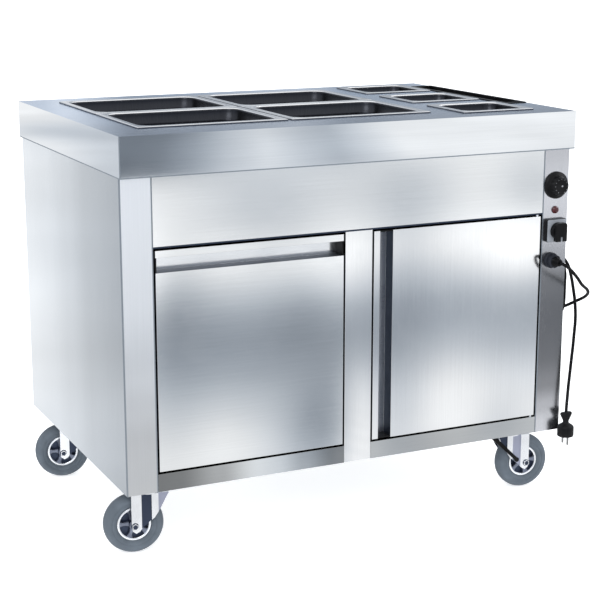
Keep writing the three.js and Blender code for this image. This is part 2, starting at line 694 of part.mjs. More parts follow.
// A round-bodied mains plug that hangs from the cord, pins down, with a flared grip above its waist.
function addPlug() {
  const [x, y, end] = CORD_ROUTE.at(-1);
  const { radius, length, waist, grip } = PLUG;
  const top = end + CLEARANCE - GAP;
  const neck = top - 24;
  const shoulder = neck - 6;
  const bottom = shoulder - length + 6;
  const body = turned([
    [0, bottom], [radius - 2, bottom], [radius, bottom + 2], [radius, shoulder - 4],
    [radius - 3, shoulder], [waist, neck], [waist, neck + 8], [0, neck + 8],
  ], 20, "vertical");
  const wings = sideways([
    [-waist + 1, neck + 3], [waist - 1, neck + 3], [grip, top - 5], [grip - 2, top],
    [2 - grip, top], [-grip, top - 5],
  ], [-5, 5]);
  const tip = bottom - PLUG_PIN.length;
  const pins = [-PLUG_PIN.spread, PLUG_PIN.spread].map((py) =>
    rod(PLUG_PIN.radius, [0, py, tip], [0, py, bottom + 1], 12),
  );
  addPiece("plug", join(body, wings, ...pins).translate([x, y, 0]), BLACK);
}

// One swivel caster: a fixed plate, a fork with its axle, a tyre on a hub and, on some, a brake.
function addCaster({ name, x, y, heading, brake }) {
  const plateTop = CLEARANCE - GAP;
  const plateBottom = plateTop - 3;
  const race = plateBottom - 6;
  const crown = 2 * WHEEL_RADIUS + 3.5;
  const plate = join(
    block([-50, 50], [-42.5, 42.5], [plateBottom, plateTop]),
    rod(23, [0, 0, race], [0, 0, plateTop - 1], 20),
  );
  addPiece(`caster_plate_${name}`, plate.translate([x, y, 0]), ZINC);

  const swivel = new THREE.Group();
  swivel.position.set(x, y, 0);
  swivel.rotation.z = THREE.MathUtils.degToRad(heading);
  unit.add(swivel);
  addPiece(`caster_fork_${name}`, casterFork(crown, race - GAP), ZINC, swivel);
  if (brake) addPiece(`brake_pedal_${name}`, brakePedal(), BLACK, swivel);

  const wheel = new THREE.Group();
  wheel.position.set(TRAIL, 0, WHEEL_RADIUS);
  swivel.add(wheel);
  const hub = turned([
    [5.4, -20], [11, -20], [12, -6], [27, -3], [30, -13], [35, -13], [35, 13], [30, 13], [27, 3],
    [12, 6], [11, 20], [5.4, 20], [5.4, -20],
  ], 20);
  const tyre = turned([
    [35.3, -12], [43, -16.5], [51, -18.5], [57.5, -15.5], [61.2, -9], [WHEEL_RADIUS, 0], [61.2, 9],
    [57.5, 15.5], [51, 18.5], [43, 16.5], [35.3, 12], [35.3, -12],
  ]);
  addPiece(`wheel_hub_${name}`, hub, STEEL, wheel);
  addPiece(`wheel_tyre_${name}`, tyre, TYRE_GREY, wheel);
}

// Two side plates under a crown with the swivel race on it. Each plate is stiffened by two pressed
// ribs, a long one down to the axle and a short one behind it; the axle bolt runs through both.
function casterFork(crown, race) {
  const { inner, outer, rib } = FORK;
  const top = crown + 2.5;
  const foot = [[23, 51], [31, 47], [38, 52], [40, WHEEL_RADIUS], [40, top]];
  const plate = [[-38, top], [-21.5, 99], [-8, 79], [15.5, 60], ...foot];
  const longRib = [[19, top], [19, 57], ...foot];
  const shortRib = [[-16, top], [-16, 91], [-8, 79], [-2, 74.2], [-2, top]];
  const axle = (radius, from, to, sides) =>
    rod(radius, [TRAIL, from, WHEEL_RADIUS], [TRAIL, to, WHEEL_RADIUS], sides);
  const ends = outer + rib + 4;
  return join(
    sideways(plate, [-outer, -inner]),
    sideways(plate, [inner, outer]),
    ...[longRib, shortRib].map((shape) => sideways(shape, [-outer - rib, -outer + 0.5])),
    ...[longRib, shortRib].map((shape) => sideways(shape, [outer - 0.5, outer + rib])),
    block([-38, 40], [-outer, outer], [crown, top]),
    rod(28, [0, 0, crown + 1], [0, 0, race], 20),
    axle(5, -ends, ends, 16),
    axle(7, -ends, -outer + 1, 6),
    axle(7, outer - 1, ends, 6),
  );
}

// A lever that pivots on the outside of the fork and ends in a foot pad under the cabinet's edge.
function brakePedal() {
  const [pivotX, pivotZ] = PEDAL.pivot;
  const lever = sideways([[9, 77.8], [-56.5, 142.6], [-63.5, 135.4], [4, 72.8]], PEDAL.y);
  const boss = rod(5.5, [pivotX, PEDAL.y[0], pivotZ], [pivotX, PEDAL.y[1], pivotZ], 16);
  const pad = block([-73, -55], [-44, -20], [137.5, 143]);
  return join(lever, boss, pad);
}

addWorktop();
addWetWell();
addPanSupport();
addSauceWell();
addUtensilTrough();
addPans();
addHeatingElement();
addLeftSidePanel();
addRightSidePanel();
addBackPanel();
addControlPanel();
addCentrePost();
addFascia();
addBasePanel();
addPartition();
addShelf();
addRunners();
addDrawerFront();
addDrawerBox();
addDoor();
addDoorPins();
addThermostat();
addLamp();
addSwitch();
addCableGland();
addCordHook();
CASTERS.forEach(addCaster);

// The footprint is measured before the cord and its plug join the unit.
const footprint = new THREE.Box3().setFromObject(unit, true);
const middle = footprint.getCenter(new THREE.Vector3());
addCord();
addPlug();
unit.position.set(-middle.x, -middle.y, -footprint.min.z);

export default unit;
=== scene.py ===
import json
import math

import bmesh
import bpy
import numpy as np
from mathutils import Matrix, Vector

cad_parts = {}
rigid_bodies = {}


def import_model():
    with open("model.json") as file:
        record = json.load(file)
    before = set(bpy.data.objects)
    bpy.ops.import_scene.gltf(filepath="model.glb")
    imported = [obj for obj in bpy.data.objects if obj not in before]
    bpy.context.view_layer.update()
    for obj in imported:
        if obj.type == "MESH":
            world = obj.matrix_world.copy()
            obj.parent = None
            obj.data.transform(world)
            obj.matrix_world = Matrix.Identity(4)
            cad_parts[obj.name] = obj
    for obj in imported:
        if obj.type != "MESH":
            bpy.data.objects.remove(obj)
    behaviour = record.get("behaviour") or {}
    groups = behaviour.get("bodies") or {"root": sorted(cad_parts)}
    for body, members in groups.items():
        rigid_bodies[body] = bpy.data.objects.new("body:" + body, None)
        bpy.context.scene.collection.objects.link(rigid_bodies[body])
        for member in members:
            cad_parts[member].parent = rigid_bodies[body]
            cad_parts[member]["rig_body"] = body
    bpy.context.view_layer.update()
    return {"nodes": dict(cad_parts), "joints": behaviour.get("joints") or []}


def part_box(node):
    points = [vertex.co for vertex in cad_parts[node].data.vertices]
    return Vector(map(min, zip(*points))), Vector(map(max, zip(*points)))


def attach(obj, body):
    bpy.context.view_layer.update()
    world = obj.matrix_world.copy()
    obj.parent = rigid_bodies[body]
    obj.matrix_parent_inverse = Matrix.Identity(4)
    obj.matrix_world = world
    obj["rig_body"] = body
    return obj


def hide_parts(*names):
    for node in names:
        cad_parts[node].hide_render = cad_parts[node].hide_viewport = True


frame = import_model()
MM = 0.001

# The cabinet's front left corner, brought down to the floor. Millimetre dimensions count from it.
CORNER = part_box("left_side_panel")[0].copy()
CORNER.z = 0.0
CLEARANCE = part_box("left_side_panel")[0].z / MM  # height of the cabinet's lower edge
APRON_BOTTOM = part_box("worktop")[0].z / MM  # height of the apron's lower edge
POST = 66.0  # width of the left front post
FACING = 0.9  # a face looks along a direction when the cosine between them is above this


def at(x, y, z):
    """A point given in millimetres from the cabinet's front left corner on the floor."""
    return CORNER + Vector((x, y, z)) * MM


# ---------------------------------------------------------------- camera and cord

CAMERA = {
    "location": at(-900.9, -2718.2, 1231.0),
    "right": (0.90483, -0.42578, 0.0),
    "up": (0.09831, 0.20893, 0.97299),
    "forward": (0.41427, 0.88038, -0.23090),
    "lens": 91.42,
}

CORD_DIAMETER = 7.0
# Millimetres from the same corner, with z counted from the cabinet's lower edge.
CORD_ROUTE = [
    (983, -38.5, 392), (983.5, -50.5, 391), (986.5, -61.5, 387), (992, -70.5, 379),
    (1002.5, -76.5, 364.5), (1016, -72.5, 349.5), (1029.5, -64, 340.5), (1043, -55, 332.5),
    (1054.5, -44.5, 323), (1062, -31.5, 313.5), (1064, -16.5, 303.5), (1059, -2, 294.5),
    (1052.5, 12, 285.5), (1044.5, 26, 277), (1036.5, 41.5, 272.5), (1031.5, 58, 275),
    (1028.5, 72, 285.5), (1028.5, 80.5, 301.5), (1028.5, 82, 319.5), (1028.5, 82, 337.5),
    (1028.5, 81.5, 355), (1028.5, 75, 371.5), (1028.5, 61.5, 383.5), (1028.5, 44, 387),
    (1028.5, 26.5, 383), (1028.5, 13.5, 371), (1028.5, 7, 354.5), (1028.5, 7, 336.5),
    (1028.5, 7, 318.5), (1028.5, 7, 300.5), (1029, 9.5, 282.5), (1029.5, 18, 267),
    (1031.5, 33, 257), (1033.5, 50.5, 254.5), (1035.5, 67, 261), (1037, 79, 274),
    (1037.5, 84.5, 291), (1038, 86, 309), (1038, 86, 327), (1038, 84.5, 345), (1038, 80, 362),
    (1038, 70.5, 377), (1038, 55, 386.5), (1038, 37, 387.5), (1038, 20.5, 381.5), (1038, 7, 369.5),
    (1038, -1.5, 354), (1039, -7, 336.5), (1040.5, -10.5, 319), (1042.5, -13, 301.5),
    (1043.5, -15, 283.5), (1044, -16.5, 265.5), (1043, -18, 247.5), (1041.5, -18.5, 229.5),
    (1040, -19, 212), (1038.5, -19.5, 194), (1036.5, -20, 176), (1035, -20, 158),
    (1033.5, -20, 140), (1032, -20, 122), (1030.5, -20, 104), (1029.5, -20, 86.5),
    (1027.5, -20, 50.5), (1027.5, -20, 44.5),
]


def add_camera():
    camera = bpy.data.cameras.new("camera")
    camera.lens = CAMERA["lens"]
    camera.sensor_width = 36.0
    camera.clip_end = 200.0
    view = bpy.data.objects.new("camera", camera)
    axes = [Vector(CAMERA["right"]), Vector(CAMERA["up"]), -Vector(CAMERA["forward"])]
    view.matrix_world = Matrix.Translation(CAMERA["location"]) @ Matrix(axes).transposed().to_4x4()
    bpy.context.scene.collection.objects.link(view)
    bpy.context.scene.camera = view


def catmull_rom(points, steps):
    """Centripetal Catmull-Rom samples through the points."""
    points = [Vector(p) for p in points]
    ends = [2 * points[0] - points[1], *points, 2 * points[-1] - points[-2]]
    samples = []
    for p0, p1, p2, p3 in zip(ends, ends[1:], ends[2:], ends[3:]):
        d0, d1, d2 = (math.sqrt((b - a).length) for a, b in ((p0, p1), (p1, p2), (p2, p3)))
        t1 = ((p1 - p0) / d0 - (p2 - p0) / (d0 + d1) + (p2 - p1) / d1) * d1
        t2 = ((p2 - p1) / d1 - (p3 - p1) / (d1 + d2) + (p3 - p2) / d2) * d1
        for i in range(steps):
            t = i / steps
            samples.append(
                p1 + t1 * t + (3 * (p2 - p1) - 2 * t1 - t2) * t**2 + (2 * (p1 - p2) + t1 + t2) * t**3
            )
    return samples + [points[-1]]


def add_cord(material):
    route = [at(x, y, z + CLEARANCE) for x, y, z in CORD_ROUTE]
    line = catmull_rom(route, 6)
    curve = bpy.data.curves.new("mains_lead", "CURVE")
    curve.dimensions = "3D"
    curve.bevel_depth = CORD_DIAMETER / 2 * MM
    curve.bevel_resolution = 5
    curve.use_fill_caps = True
    spline = curve.splines.new("POLY")
    spline.points.add(len(line) - 1)
    for point, place in zip(spline.points, line):
        point.co = (*place, 1.0)
    curve.materials.append(material)
    lead = bpy.data.objects.new("mains_lead", curve)
    bpy.context.scene.collection.objects.link(lead)
    length = sum((b - a).length for a, b in zip(line, line[1:]))
    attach(lead, "cabinet")
    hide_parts("power_cord")
    return lead, line, length


# ---------------------------------------------------------------- materials


class Nodes:
    """A small builder for one material's node tree."""

    def __init__(self, name):
        self.material = bpy.data.materials.new(name)
        self.material.use_nodes = True
        self.tree = self.material.node_tree
        self.shader = self.tree.nodes["Principled BSDF"]
        self.coords = self.add("ShaderNodeTexCoord").outputs["Object"]

    def add(self, kind, **settings):
        node = self.tree.nodes.new(kind)
        for key, value in settings.items():
            setattr(node, key, value)
        return node

    def link(self, source, target):
        self.tree.links.new(source, target)

    def scaled(self, scale):
        mapping = self.add("ShaderNodeMapping")
        mapping.inputs["Scale"].default_value = scale
        self.link(self.coords, mapping.inputs["Vector"])
        return mapping.outputs["Vector"]

    def noise(self, scale, detail, stretch=(1, 1, 1)):
        noise = self.add("ShaderNodeTexNoise")
        noise.inputs["Scale"].default_value = scale
        noise.inputs["Detail"].default_value = detail
        self.link(self.scaled(stretch), noise.inputs["Vector"])
        return noise.outputs["Fac"]

    def spread(self, value, low, high, start=0.3, end=0.7):
        """Maps a 0..1 value to low..high, reading only its middle."""
        ranged = self.add("ShaderNodeMapRange")
        ranged.inputs["From Min"].default_value = start
        ranged.inputs["From Max"].default_value = end
        ranged.inputs["To Min"].default_value = low
        ranged.inputs["To Max"].default_value = high
        self.link(value, ranged.inputs["Value"])
        return ranged.outputs["Result"]

    def sum(self, a, b, operation="ADD"):
        node = self.add("ShaderNodeMath", operation=operation)
        for socket, value in zip(node.inputs, (a, b)):
            if isinstance(value, (int, float)):
                socket.default_value = value
            else:
                self.link(value, socket)
        return node.outputs[0]

    def mix(self, factor, low, high):
        node = self.add("ShaderNodeMix", data_type="RGBA")
        self.link(factor, node.inputs["Factor"])
        colours = [s for s in node.inputs if s.type == "RGBA"]
        for socket, colour in zip(colours, (low, high)):
            if isinstance(colour, tuple):
                socket.default_value = (*colour, 1.0)
            else:
                self.link(colour, socket)
        return [s for s in node.outputs if s.type == "RGBA"][0]

    def bump(self, height, strength, distance):
        bump = self.add("ShaderNodeBump")
        bump.inputs["Strength"].default_value = strength
        bump.inputs["Distance"].default_value = distance
        self.link(height, bump.inputs["Height"])
        return bump.outputs["Normal"]

    def ramp(self, axis, stops):
        """A smooth value along one axis, from [position in metres, value] stops."""
        split = self.add("ShaderNodeSeparateXYZ")
        self.link(self.coords, split.inputs[0])
        low, high = stops[0][0], stops[-1][0]
        place = self.spread(split.outputs["XYZ".index(axis)], 0.0, 1.0, low, high)
        ramp = self.add("ShaderNodeValToRGB")
        ramp.color_ramp.interpolation = "EASE"
        elements = ramp.color_ramp.elements
        while len(elements) < len(stops):
            elements.new(0.5)
        for element, (position, value) in zip(elements, stops):
            element.position = (position - low) / (high - low)
            element.color = (value, value, value, 1.0)
        self.link(place, ramp.inputs["Fac"])
        return ramp.outputs["Color"]

    def times(self, a, b):
        node = self.add("ShaderNodeMix", data_type="RGBA", blend_type="MULTIPLY")
        node.inputs["Factor"].default_value = 1.0
        colours = [s for s in node.inputs if s.type == "RGBA"]
        self.link(a, colours[0])
        self.link(b, colours[1])
        return [s for s in node.outputs if s.type == "RGBA"][0]

    def edges(self):
        """0 on flat faces, 1 on the convex edges."""
        geometry = self.add("ShaderNodeNewGeometry")
        return self.spread(geometry.outputs["Pointiness"], 0.0, 1.0, 0.5, 0.58)

    def set(self, **values):
        for key, value in values.items():
            socket = self.shader.inputs[key.replace("_", " ")]
            if isinstance(value, (int, float, tuple)):
                socket.default_value = value if isinstance(value, (int, float)) else (*value, 1.0)
            else:
                self.link(value, socket)
        return self.material


GRAIN = {"x": (1.2, 90, 90), "y": (90, 1.2, 90), "z": (90, 90, 1.2)}


def brushed(name, colour, grain, rough=(0.09, 0.12), variation=0.03, painted_reflections=(), relief=0.02):
    """Brushed sheet: long fine scratches along one axis, broad uneven polish and faint smudges.

    The painted reflections are (axis, stops) pairs, with positions in millimetres from the cabinet's corner,
    where painted reflection makes the sheet darker or lighter.
    """
    n = Nodes(name)
    fine = n.noise(26.0, 2.0, GRAIN[grain])
    coarse = n.noise(4.0, 3.0, GRAIN[grain])
    cloud = n.noise(3.2, 4.0)
    smudge = n.noise(14.0, 5.0)
    darker = tuple(c * (1 - variation) for c in colour)
    lighter = tuple(min(1.0, c * (1 + variation * 0.6)) for c in colour)
    tone = n.sum(n.sum(coarse, 0.55, "MULTIPLY"), n.sum(cloud, 0.45, "MULTIPLY"))
    base = n.mix(n.spread(tone, 0.0, 1.0, 0.35, 0.65), darker, lighter)
    # Painted reflection: the colour darkened and lightened along one axis.
    for axis, stops in painted_reflections:
        start = CORNER["XYZ".index(axis)]
        placed = [(start + position * MM, value) for position, value in stops]
        base = n.times(base, n.ramp(axis, placed))
    polish = n.spread(fine, rough[0], rough[1])
    wear = n.spread(smudge, 0.0, 0.2 * rough[1], 0.5, 0.75)
    return n.set(
        Base_Color=base,
        Metallic=1.0,
        Roughness=n.sum(polish, wear),
        Normal=n.bump(fine, relief, 0.0003),
    )


def plated(name, colour, rough=0.16):
    """Bright zinc or chrome plate with fine pitting and duller patches."""
    n = Nodes(name)
    cloud = n.noise(24.0, 4.0)
    pits = n.noise(420.0, 2.0)
    base = n.mix(n.spread(cloud, 0.0, 1.0), tuple(c * 0.86 for c in colour), colour)
    return n.set(
        Base_Color=base,
        Metallic=1.0,
        Roughness=n.spread(cloud, rough, rough + 0.14),
        Normal=n.bump(pits, 0.08, 0.0003),
    )


def moulded(name, colour, rough, texture=900.0, worn=0.35, shine=0.3):
    """Moulded plastic or rubber: fine pebble texture, slightly paler worn edges, a little dust."""
    n = Nodes(name)
    pebble = n.noise(texture, 2.0)
    dust = n.noise(30.0, 5.0)
    edge = n.sum(n.edges(), worn, "MULTIPLY")
    pale = tuple(min(1.0, c * 2.2 + 0.03) for c in colour)
    dusty = tuple(min(1.0, c * 1.35 + 0.006) for c in colour)
    base = n.mix(n.spread(dust, 0.0, 1.0, 0.45, 0.75), colour, dusty)
    base = n.mix(edge, base, pale)
    return n.set(
        Base_Color=base,
        Roughness=n.spread(dust, rough, rough + 0.12),
        Normal=n.bump(pebble, 0.18, 0.0003),
        Specular_IOR_Level=shine,
    )


# Painted reflections on single sheets, darker and lighter along one axis: (millimetres from the cabinet's
# corner, factor on the steel's colour).
RAIL_PAINTED_REFLECTION = [
    (66, 0.24), (110, 0.26), (200, 0.49), (290, 0.95), (330, 0.95), (390, 0.75), (460, 0.4), (481, 0.36),
    (560, 0.62), (700, 0.55), (780, 0.58), (860, 0.63), (958, 0.66),
]
CONTROL_PAINTED_REFLECTION = [
    (155, 0.9), (175, 0.88), (215, 0.66), (265, 0.38), (330, 0.29), (435, 0.28), (495, 0.31), (560, 0.58),
    (620, 0.8), (700, 0.86), (790, 0.7),
]
SIDE_PAINTED_REFLECTION = [(0, 0.66), (200, 0.72), (350, 0.86), (500, 0.96), (681, 1.0)]
POST_PAINTED_REFLECTION = [(155, 0.6), (265, 0.64), (330, 0.74), (400, 0.84), (560, 1.0), (790, 1.0)]
DECK_PAINTED_REFLECTION = [(-15, 0.52), (90, 0.6), (250, 0.78), (450, 0.9), (693, 0.88)]

STEEL = brushed("steel_front", (0.80, 0.82, 0.835), "x")
STEEL_UPRIGHT = brushed("steel_upright", (0.84, 0.855, 0.87), "z")
# Painted reflection: the rail, control panel, post, side and deck steels are painted darker and lighter along
# one axis.
STEEL_RAIL = brushed("steel_rail", (0.80, 0.83, 0.85), "x", painted_reflections=[("X", RAIL_PAINTED_REFLECTION)])
STEEL_CONTROL = brushed("steel_control", (0.78, 0.79, 0.83), "z", (0.2, 0.26), painted_reflections=[("Z", CONTROL_PAINTED_REFLECTION)])
# Painted reflection: the post's steel is also painted brighter than the front's.
STEEL_POST = brushed("steel_post", (0.93, 0.95, 0.97), "z", (0.3, 0.38), painted_reflections=[("Z", POST_PAINTED_REFLECTION)])
STEEL_SIDE = brushed(
    "steel_side", (0.82, 0.86, 0.90), "z", (0.13, 0.16), painted_reflections=[("Y", SIDE_PAINTED_REFLECTION)], relief=0.01
)
# Painted reflection: the deck's steel is also painted bluer than the rest.
STEEL_TOP = brushed("steel_top", (0.68, 0.80, 0.98), "x", (0.2, 0.26), 0.04, [("Y", DECK_PAINTED_REFLECTION)])
STEEL_APRON = brushed("steel_apron", (0.80, 0.83, 0.86), "x", (0.03, 0.05), relief=0.004)
# Painted shade: the ledge in the drawer's handle channel, steel painted near black.
STEEL_LEDGE_SHADE = brushed("steel_ledge_shade", (0.11, 0.125, 0.15), "x", (0.42, 0.5))
STEEL_DULL = brushed("steel_dull", (0.80, 0.82, 0.84), "x", (0.26, 0.32))
STEEL_CHANNEL = brushed("steel_channel", (0.88, 0.90, 0.92), "x", (0.16, 0.20))
STEEL_REAR = brushed("steel_rear", (0.80, 0.83, 0.87), "z", (0.16, 0.2), relief=0.01)
# Painted shade: dark strips along the bends, the worktop's hem and corner, and the post's and the control
# panel's edges.
STEEL_EDGE_SHADE = brushed("steel_edge_shade", (0.30, 0.335, 0.37), "z", (0.4, 0.5))
STEEL_SHADE = brushed("steel_shade", (0.045, 0.058, 0.088), "z", (0.42, 0.5))
STEEL_INSIDE = brushed("steel_inside", (0.62, 0.63, 0.65), "y", (0.3, 0.4))
PAN_RIM = brushed("pan_rim", (0.74, 0.75, 0.77), "x", (0.2, 0.26))
# Painted shade: the pans' outer skirt below the rim.
PAN_SKIRT_SHADE = brushed("pan_skirt_shade", (0.10, 0.11, 0.13), "x", (0.3, 0.4))
PAN_BACK = brushed("pan_back", (0.60, 0.61, 0.63), "z", (0.2, 0.28))
# Painted shade: the pans' deep insides, steel painted near black.
PAN_WELL_SHADE = brushed("pan_inside_shade", (0.034, 0.036, 0.042), "z", (0.24, 0.34), 0.15, relief=0.008)
ZINC = plated("bright_zinc", (0.88, 0.9, 0.93))
DULL_ZINC = plated("dull_zinc", (0.2, 0.22, 0.28), 0.3)
# Painted shade and painted reflection on zinc: dark and lilac zones of the fork's side plates; the dark one
# also on the hub webs and the axle nuts.
ZINC_PAINTED_SHADE = plated("zinc_painted_shade", (0.05, 0.062, 0.095), 0.35)
ZINC_PAINTED_REFLECTION = plated("zinc_painted_reflection", (0.40, 0.42, 0.52), 0.35)
BLACK = moulded("black_moulding", (0.003, 0.003, 0.0035), 0.3, worn=0.08, shine=0.12)
GREY = moulded("grey_moulding", (0.011, 0.013, 0.019), 0.4, worn=0.15, shine=0.16)
FACE_GREY = moulded("switch_face", (0.16, 0.172, 0.19), 0.35)
RUBBER = moulded("grey_tyre", (0.084, 0.102, 0.122), 0.62, 600.0, 0.2)
LEAD = moulded("lead_sheath", (0.003, 0.003, 0.0035), 0.45, 1500.0, 0.0, 0.1)
BRASS = plated("plug_pin", (0.30, 0.30, 0.30), 0.25)
MARK = moulded("dial_mark", (0.16, 0.165, 0.175), 0.5)


def lens_material():
    n = Nodes("lamp_lens")
    glow = n.noise(160.0, 2.0)
    base = n.mix(n.spread(glow, 0.0, 1.0), (0.03, 0.002, 0.003), (0.075, 0.006, 0.007))
    return n.set(Base_Color=base, Roughness=n.spread(glow, 0.08, 0.16), Coat_Weight=0.25, Coat_Roughness=0.05)


LENS = lens_material()

# ---------------------------------------------------------------- pieces


def add_piece(name, bm, materials, body, replaced=(), bevel=0.0, segments=2, smooth=40.0):
    """Turns a bmesh into a piece that rides on a body."""
    mesh = bpy.data.meshes.new(name)
    bmesh.ops.recalc_face_normals(bm, faces=bm.faces)
    bm.to_mesh(mesh)
    bm.free()
    for material in materials if isinstance(materials, (list, tuple)) else [materials]:
        mesh.materials.append(material)
    piece = bpy.data.objects.new(name, mesh)
    bpy.context.scene.collection.objects.link(piece)
    if bevel:
        modifier = piece.modifiers.new("edges", "BEVEL")
        modifier.width = bevel * MM
        modifier.segments = segments
        modifier.limit_method = "ANGLE"
        modifier.angle_limit = math.radians(35.0)
        modifier.use_clamp_overlap = True
        flat = piece.modifiers.new("flat_faces", "WEIGHTED_NORMAL")
        flat.keep_sharp = True
    for polygon in mesh.polygons:
        polygon.use_smooth = True
    mesh.set_sharp_from_angle(angle=math.radians(smooth))
    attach(piece, body)
    if replaced:
        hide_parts(*replaced)
    return piece


def body_of(node):
    return frame["nodes"][node]["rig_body"]


def from_cad(node, materials, bevel, segments=2, paint=None, cuts=()):
    """A rounded copy of a CAD sheet or moulding, with its flat faces whole again.

    paint gives each face its place in the list of materials; cuts are (point, normal) planes
    along which the faces are divided first.
    """
    bm = bmesh.new()
    bm.from_mesh(frame["nodes"][node].data)
    bmesh.ops.remove_doubles(bm, verts=bm.verts, dist=1e-6)
    bmesh.ops.dissolve_limit(bm, angle_limit=math.radians(1.0), verts=bm.verts, edges=bm.edges)
    for point, normal in cuts:
        everything = bm.verts[:] + bm.edges[:] + bm.faces[:]
        bmesh.ops.bisect_plane(bm, geom=everything, plane_co=point, plane_no=normal)
    if paint:
        for face in bm.faces:
            face.material_index = paint(face)
    body = body_of(node)
    add_piece(f"{node}_shell", bm, materials, body, (node,), bevel, segments)


def box_into(bm, low, high):
    """A box between two corners, in metres."""
    centre, size = (low + high) / 2, high - low
    for vertex in bmesh.ops.create_cube(bm, size=1.0)["verts"]:
        vertex.co = Vector(c * s for c, s in zip(vertex.co, size)) + centre


def block_into(bm, corners):
    """A block from four corners and the four that face them."""
    for quad in ((0, 1, 2, 3), (7, 6, 5, 4), (0, 1, 5, 4), (1, 2, 6, 5), (2, 3, 7, 6), (3, 0, 4, 7)):
        bm.faces.new([corners[k] for k in quad])


def lathe_into(bm, profile, origin, axis, sides, materials=None, closed=False):
    """Turns (radius, along) points in millimetres about an axis; the first and last may be on it."""
    axis = Vector(axis).normalized()
    side = axis.orthogonal().normalized()
    other = axis.cross(side)
    rings = []
    for radius, along in profile:
        centre = Vector(origin) + axis * along * MM
        if radius < 1e-6:
            rings.append([bm.verts.new(centre)])
            continue
        ring = []
        for i in range(sides):
            turn = 2 * math.pi * i / sides
            ring.append(bm.verts.new(centre + (side * math.cos(turn) + other * math.sin(turn)) * radius * MM))
        rings.append(ring)
    pairs = list(zip(rings, rings[1:]))
    if closed:
        pairs.append((rings[-1], rings[0]))
    for index, (a, b) in enumerate(pairs):
        for i in range(sides):
            j = (i + 1) % sides
            corners = [a[i % len(a)], a[j % len(a)], b[j % len(b)], b[i % len(b)]]
            unique = list(dict.fromkeys(corners))
            if len(unique) > 2:
                face = bm.faces.new(unique)
                if materials:
                    face.material_index = materials[index]
    return rings


def rounded_ring(bm, half_x, half_y, radius, centre, z, steps=8):
    """A level rectangle with round corners, in metres."""
    ring = []
    for corner, (sx, sy) in enumerate(((1, 1), (-1, 1), (-1, -1), (1, -1))):
        for i in range(steps + 1):
            turn = (corner + i / steps) * math.pi / 2
            ring.append(
                bm.verts.new((
                    centre[0] + sx * (half_x - radius) + radius * math.cos(turn),
                    centre[1] + sy * (half_y - radius) + radius * math.sin(turn),
                    z,
                ))
            )
    return ring


def skin(bm, rings, materials):
    """Joins rings of equal length with faces, and closes the first and the last ring."""
    for index, (a, b) in enumerate(zip(rings, rings[1:])):
        for i in range(len(a)):
            j = (i + 1) % len(a)
            bm.faces.new((a[i], a[j], b[j], b[i])).material_index = materials[index]
    for ring, material in ((rings[0], materials[0]), (rings[-1], materials[-1])):
        bm.faces.new(ring).material_index = material


def add_pan(node, depth, corner):
    """A pressed food pan: rolled rim, stacking shoulder, drafted walls and a rounded floor."""
    low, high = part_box(node)
    half = (high - low) / 2
    centre = (low + high) / 2
    sheet = 1.0  # its thickness
    foot = 20.0  # inset of the walls where they meet the pan's floor
    rim, well, skirt, back = range(4)  # places in finishes
    inner = [  # inset, drop, corner radius, finish
        (foot + 26, depth - sheet, corner - 4, well),
        (foot + 10, depth - sheet - 1.2, corner, well),
        (foot + 3.5, depth - sheet - 5, corner, well),
        (foot + 0.6, depth - sheet - 12, corner, well),
        (17.6, 26, corner, well),
        (17.2, 23, corner, well),
        (15.6, 21, corner, well),
        (15.2, 6, corner, well),
        (14.6, 2.2, corner, rim),
        (13.4, 0.5, corner, rim),
        (12.0, 0.0, corner, rim),
        (2.4, 0.0, 6, rim),
        (1.0, 0.25, 5, rim),
        (0.25, 1.0, 4.5, skirt),
        (0.0, 2.0, 4, skirt),
    ]
    outer = [
        (0.0, 3.0, 4, skirt),
        (sheet, 3.0, 4, skirt),
        (sheet, sheet + 0.6, 4, rim),
        (12.0, sheet, corner, rim),
        (14.0, 6, corner, rim),
        (14.4, 21.5, corner, back),
        (16.4, 26, corner, back),
        (19.2, depth - 10, corner, back),
        (22.0, depth - 3.5, corner, back),
        (foot + 10, depth, corner, back),
    ]
    bm = bmesh.new()
    rings, materials = [], []
    for inset, drop, radius, material in inner + outer:
        half_x, half_y = half.x - inset * MM, half.y - inset * MM
        rings.append(rounded_ring(bm, half_x, half_y, radius * MM, centre, high.z - drop * MM))
        materials.append(material)
    skin(bm, rings, materials)
    # The wells and the skirts take painted shade.
    finishes = [PAN_RIM, PAN_WELL_SHADE, PAN_SKIRT_SHADE, PAN_BACK]
    add_piece(node + "_pressing", bm, finishes, body_of(node), (node,), smooth=60.0)


for row in ("front", "rear"):
    for column in ("left", "right"):
        add_pan(f"pan_{row}_{column}", depth=150, corner=30)
for row in ("front", "middle", "rear"):
    add_pan(f"small_pan_{row}", depth=105, corner=22)


def add_fascia():
    """The panel over the drawer and the door, with a shaded hem along its lower edge."""
    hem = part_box("fascia")[0] + Vector((0, 0, 3.4)) * MM

    def paint(face):
        return 1 if face.calc_center_median().z < hem.z and face.normal.y < -FACING else 0

    from_cad("fascia", [STEEL, STEEL_SHADE], 0.3, paint=paint, cuts=[(hem, (0, 0, 1))])


def channelled(node, face_steel, wall_steel, shaded, axis, side):
    """A front with a handle channel: satin back wall, and the wall that looks along axis in shade."""
    low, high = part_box(node)
    edge = 10 * MM  # the sheet's own edges lie within this of its box
    behind = CORNER.y + 15 * MM

    def paint(face):
        middle = face.calc_center_median()
        if face.normal[axis] * side > FACING and low[axis] + edge < middle[axis] < high[axis] - edge:
            return 2
        return 1 if face.normal.y < -FACING and middle.y > behind else 0

    from_cad(node, [face_steel, wall_steel, shaded], 0.4, paint=paint)


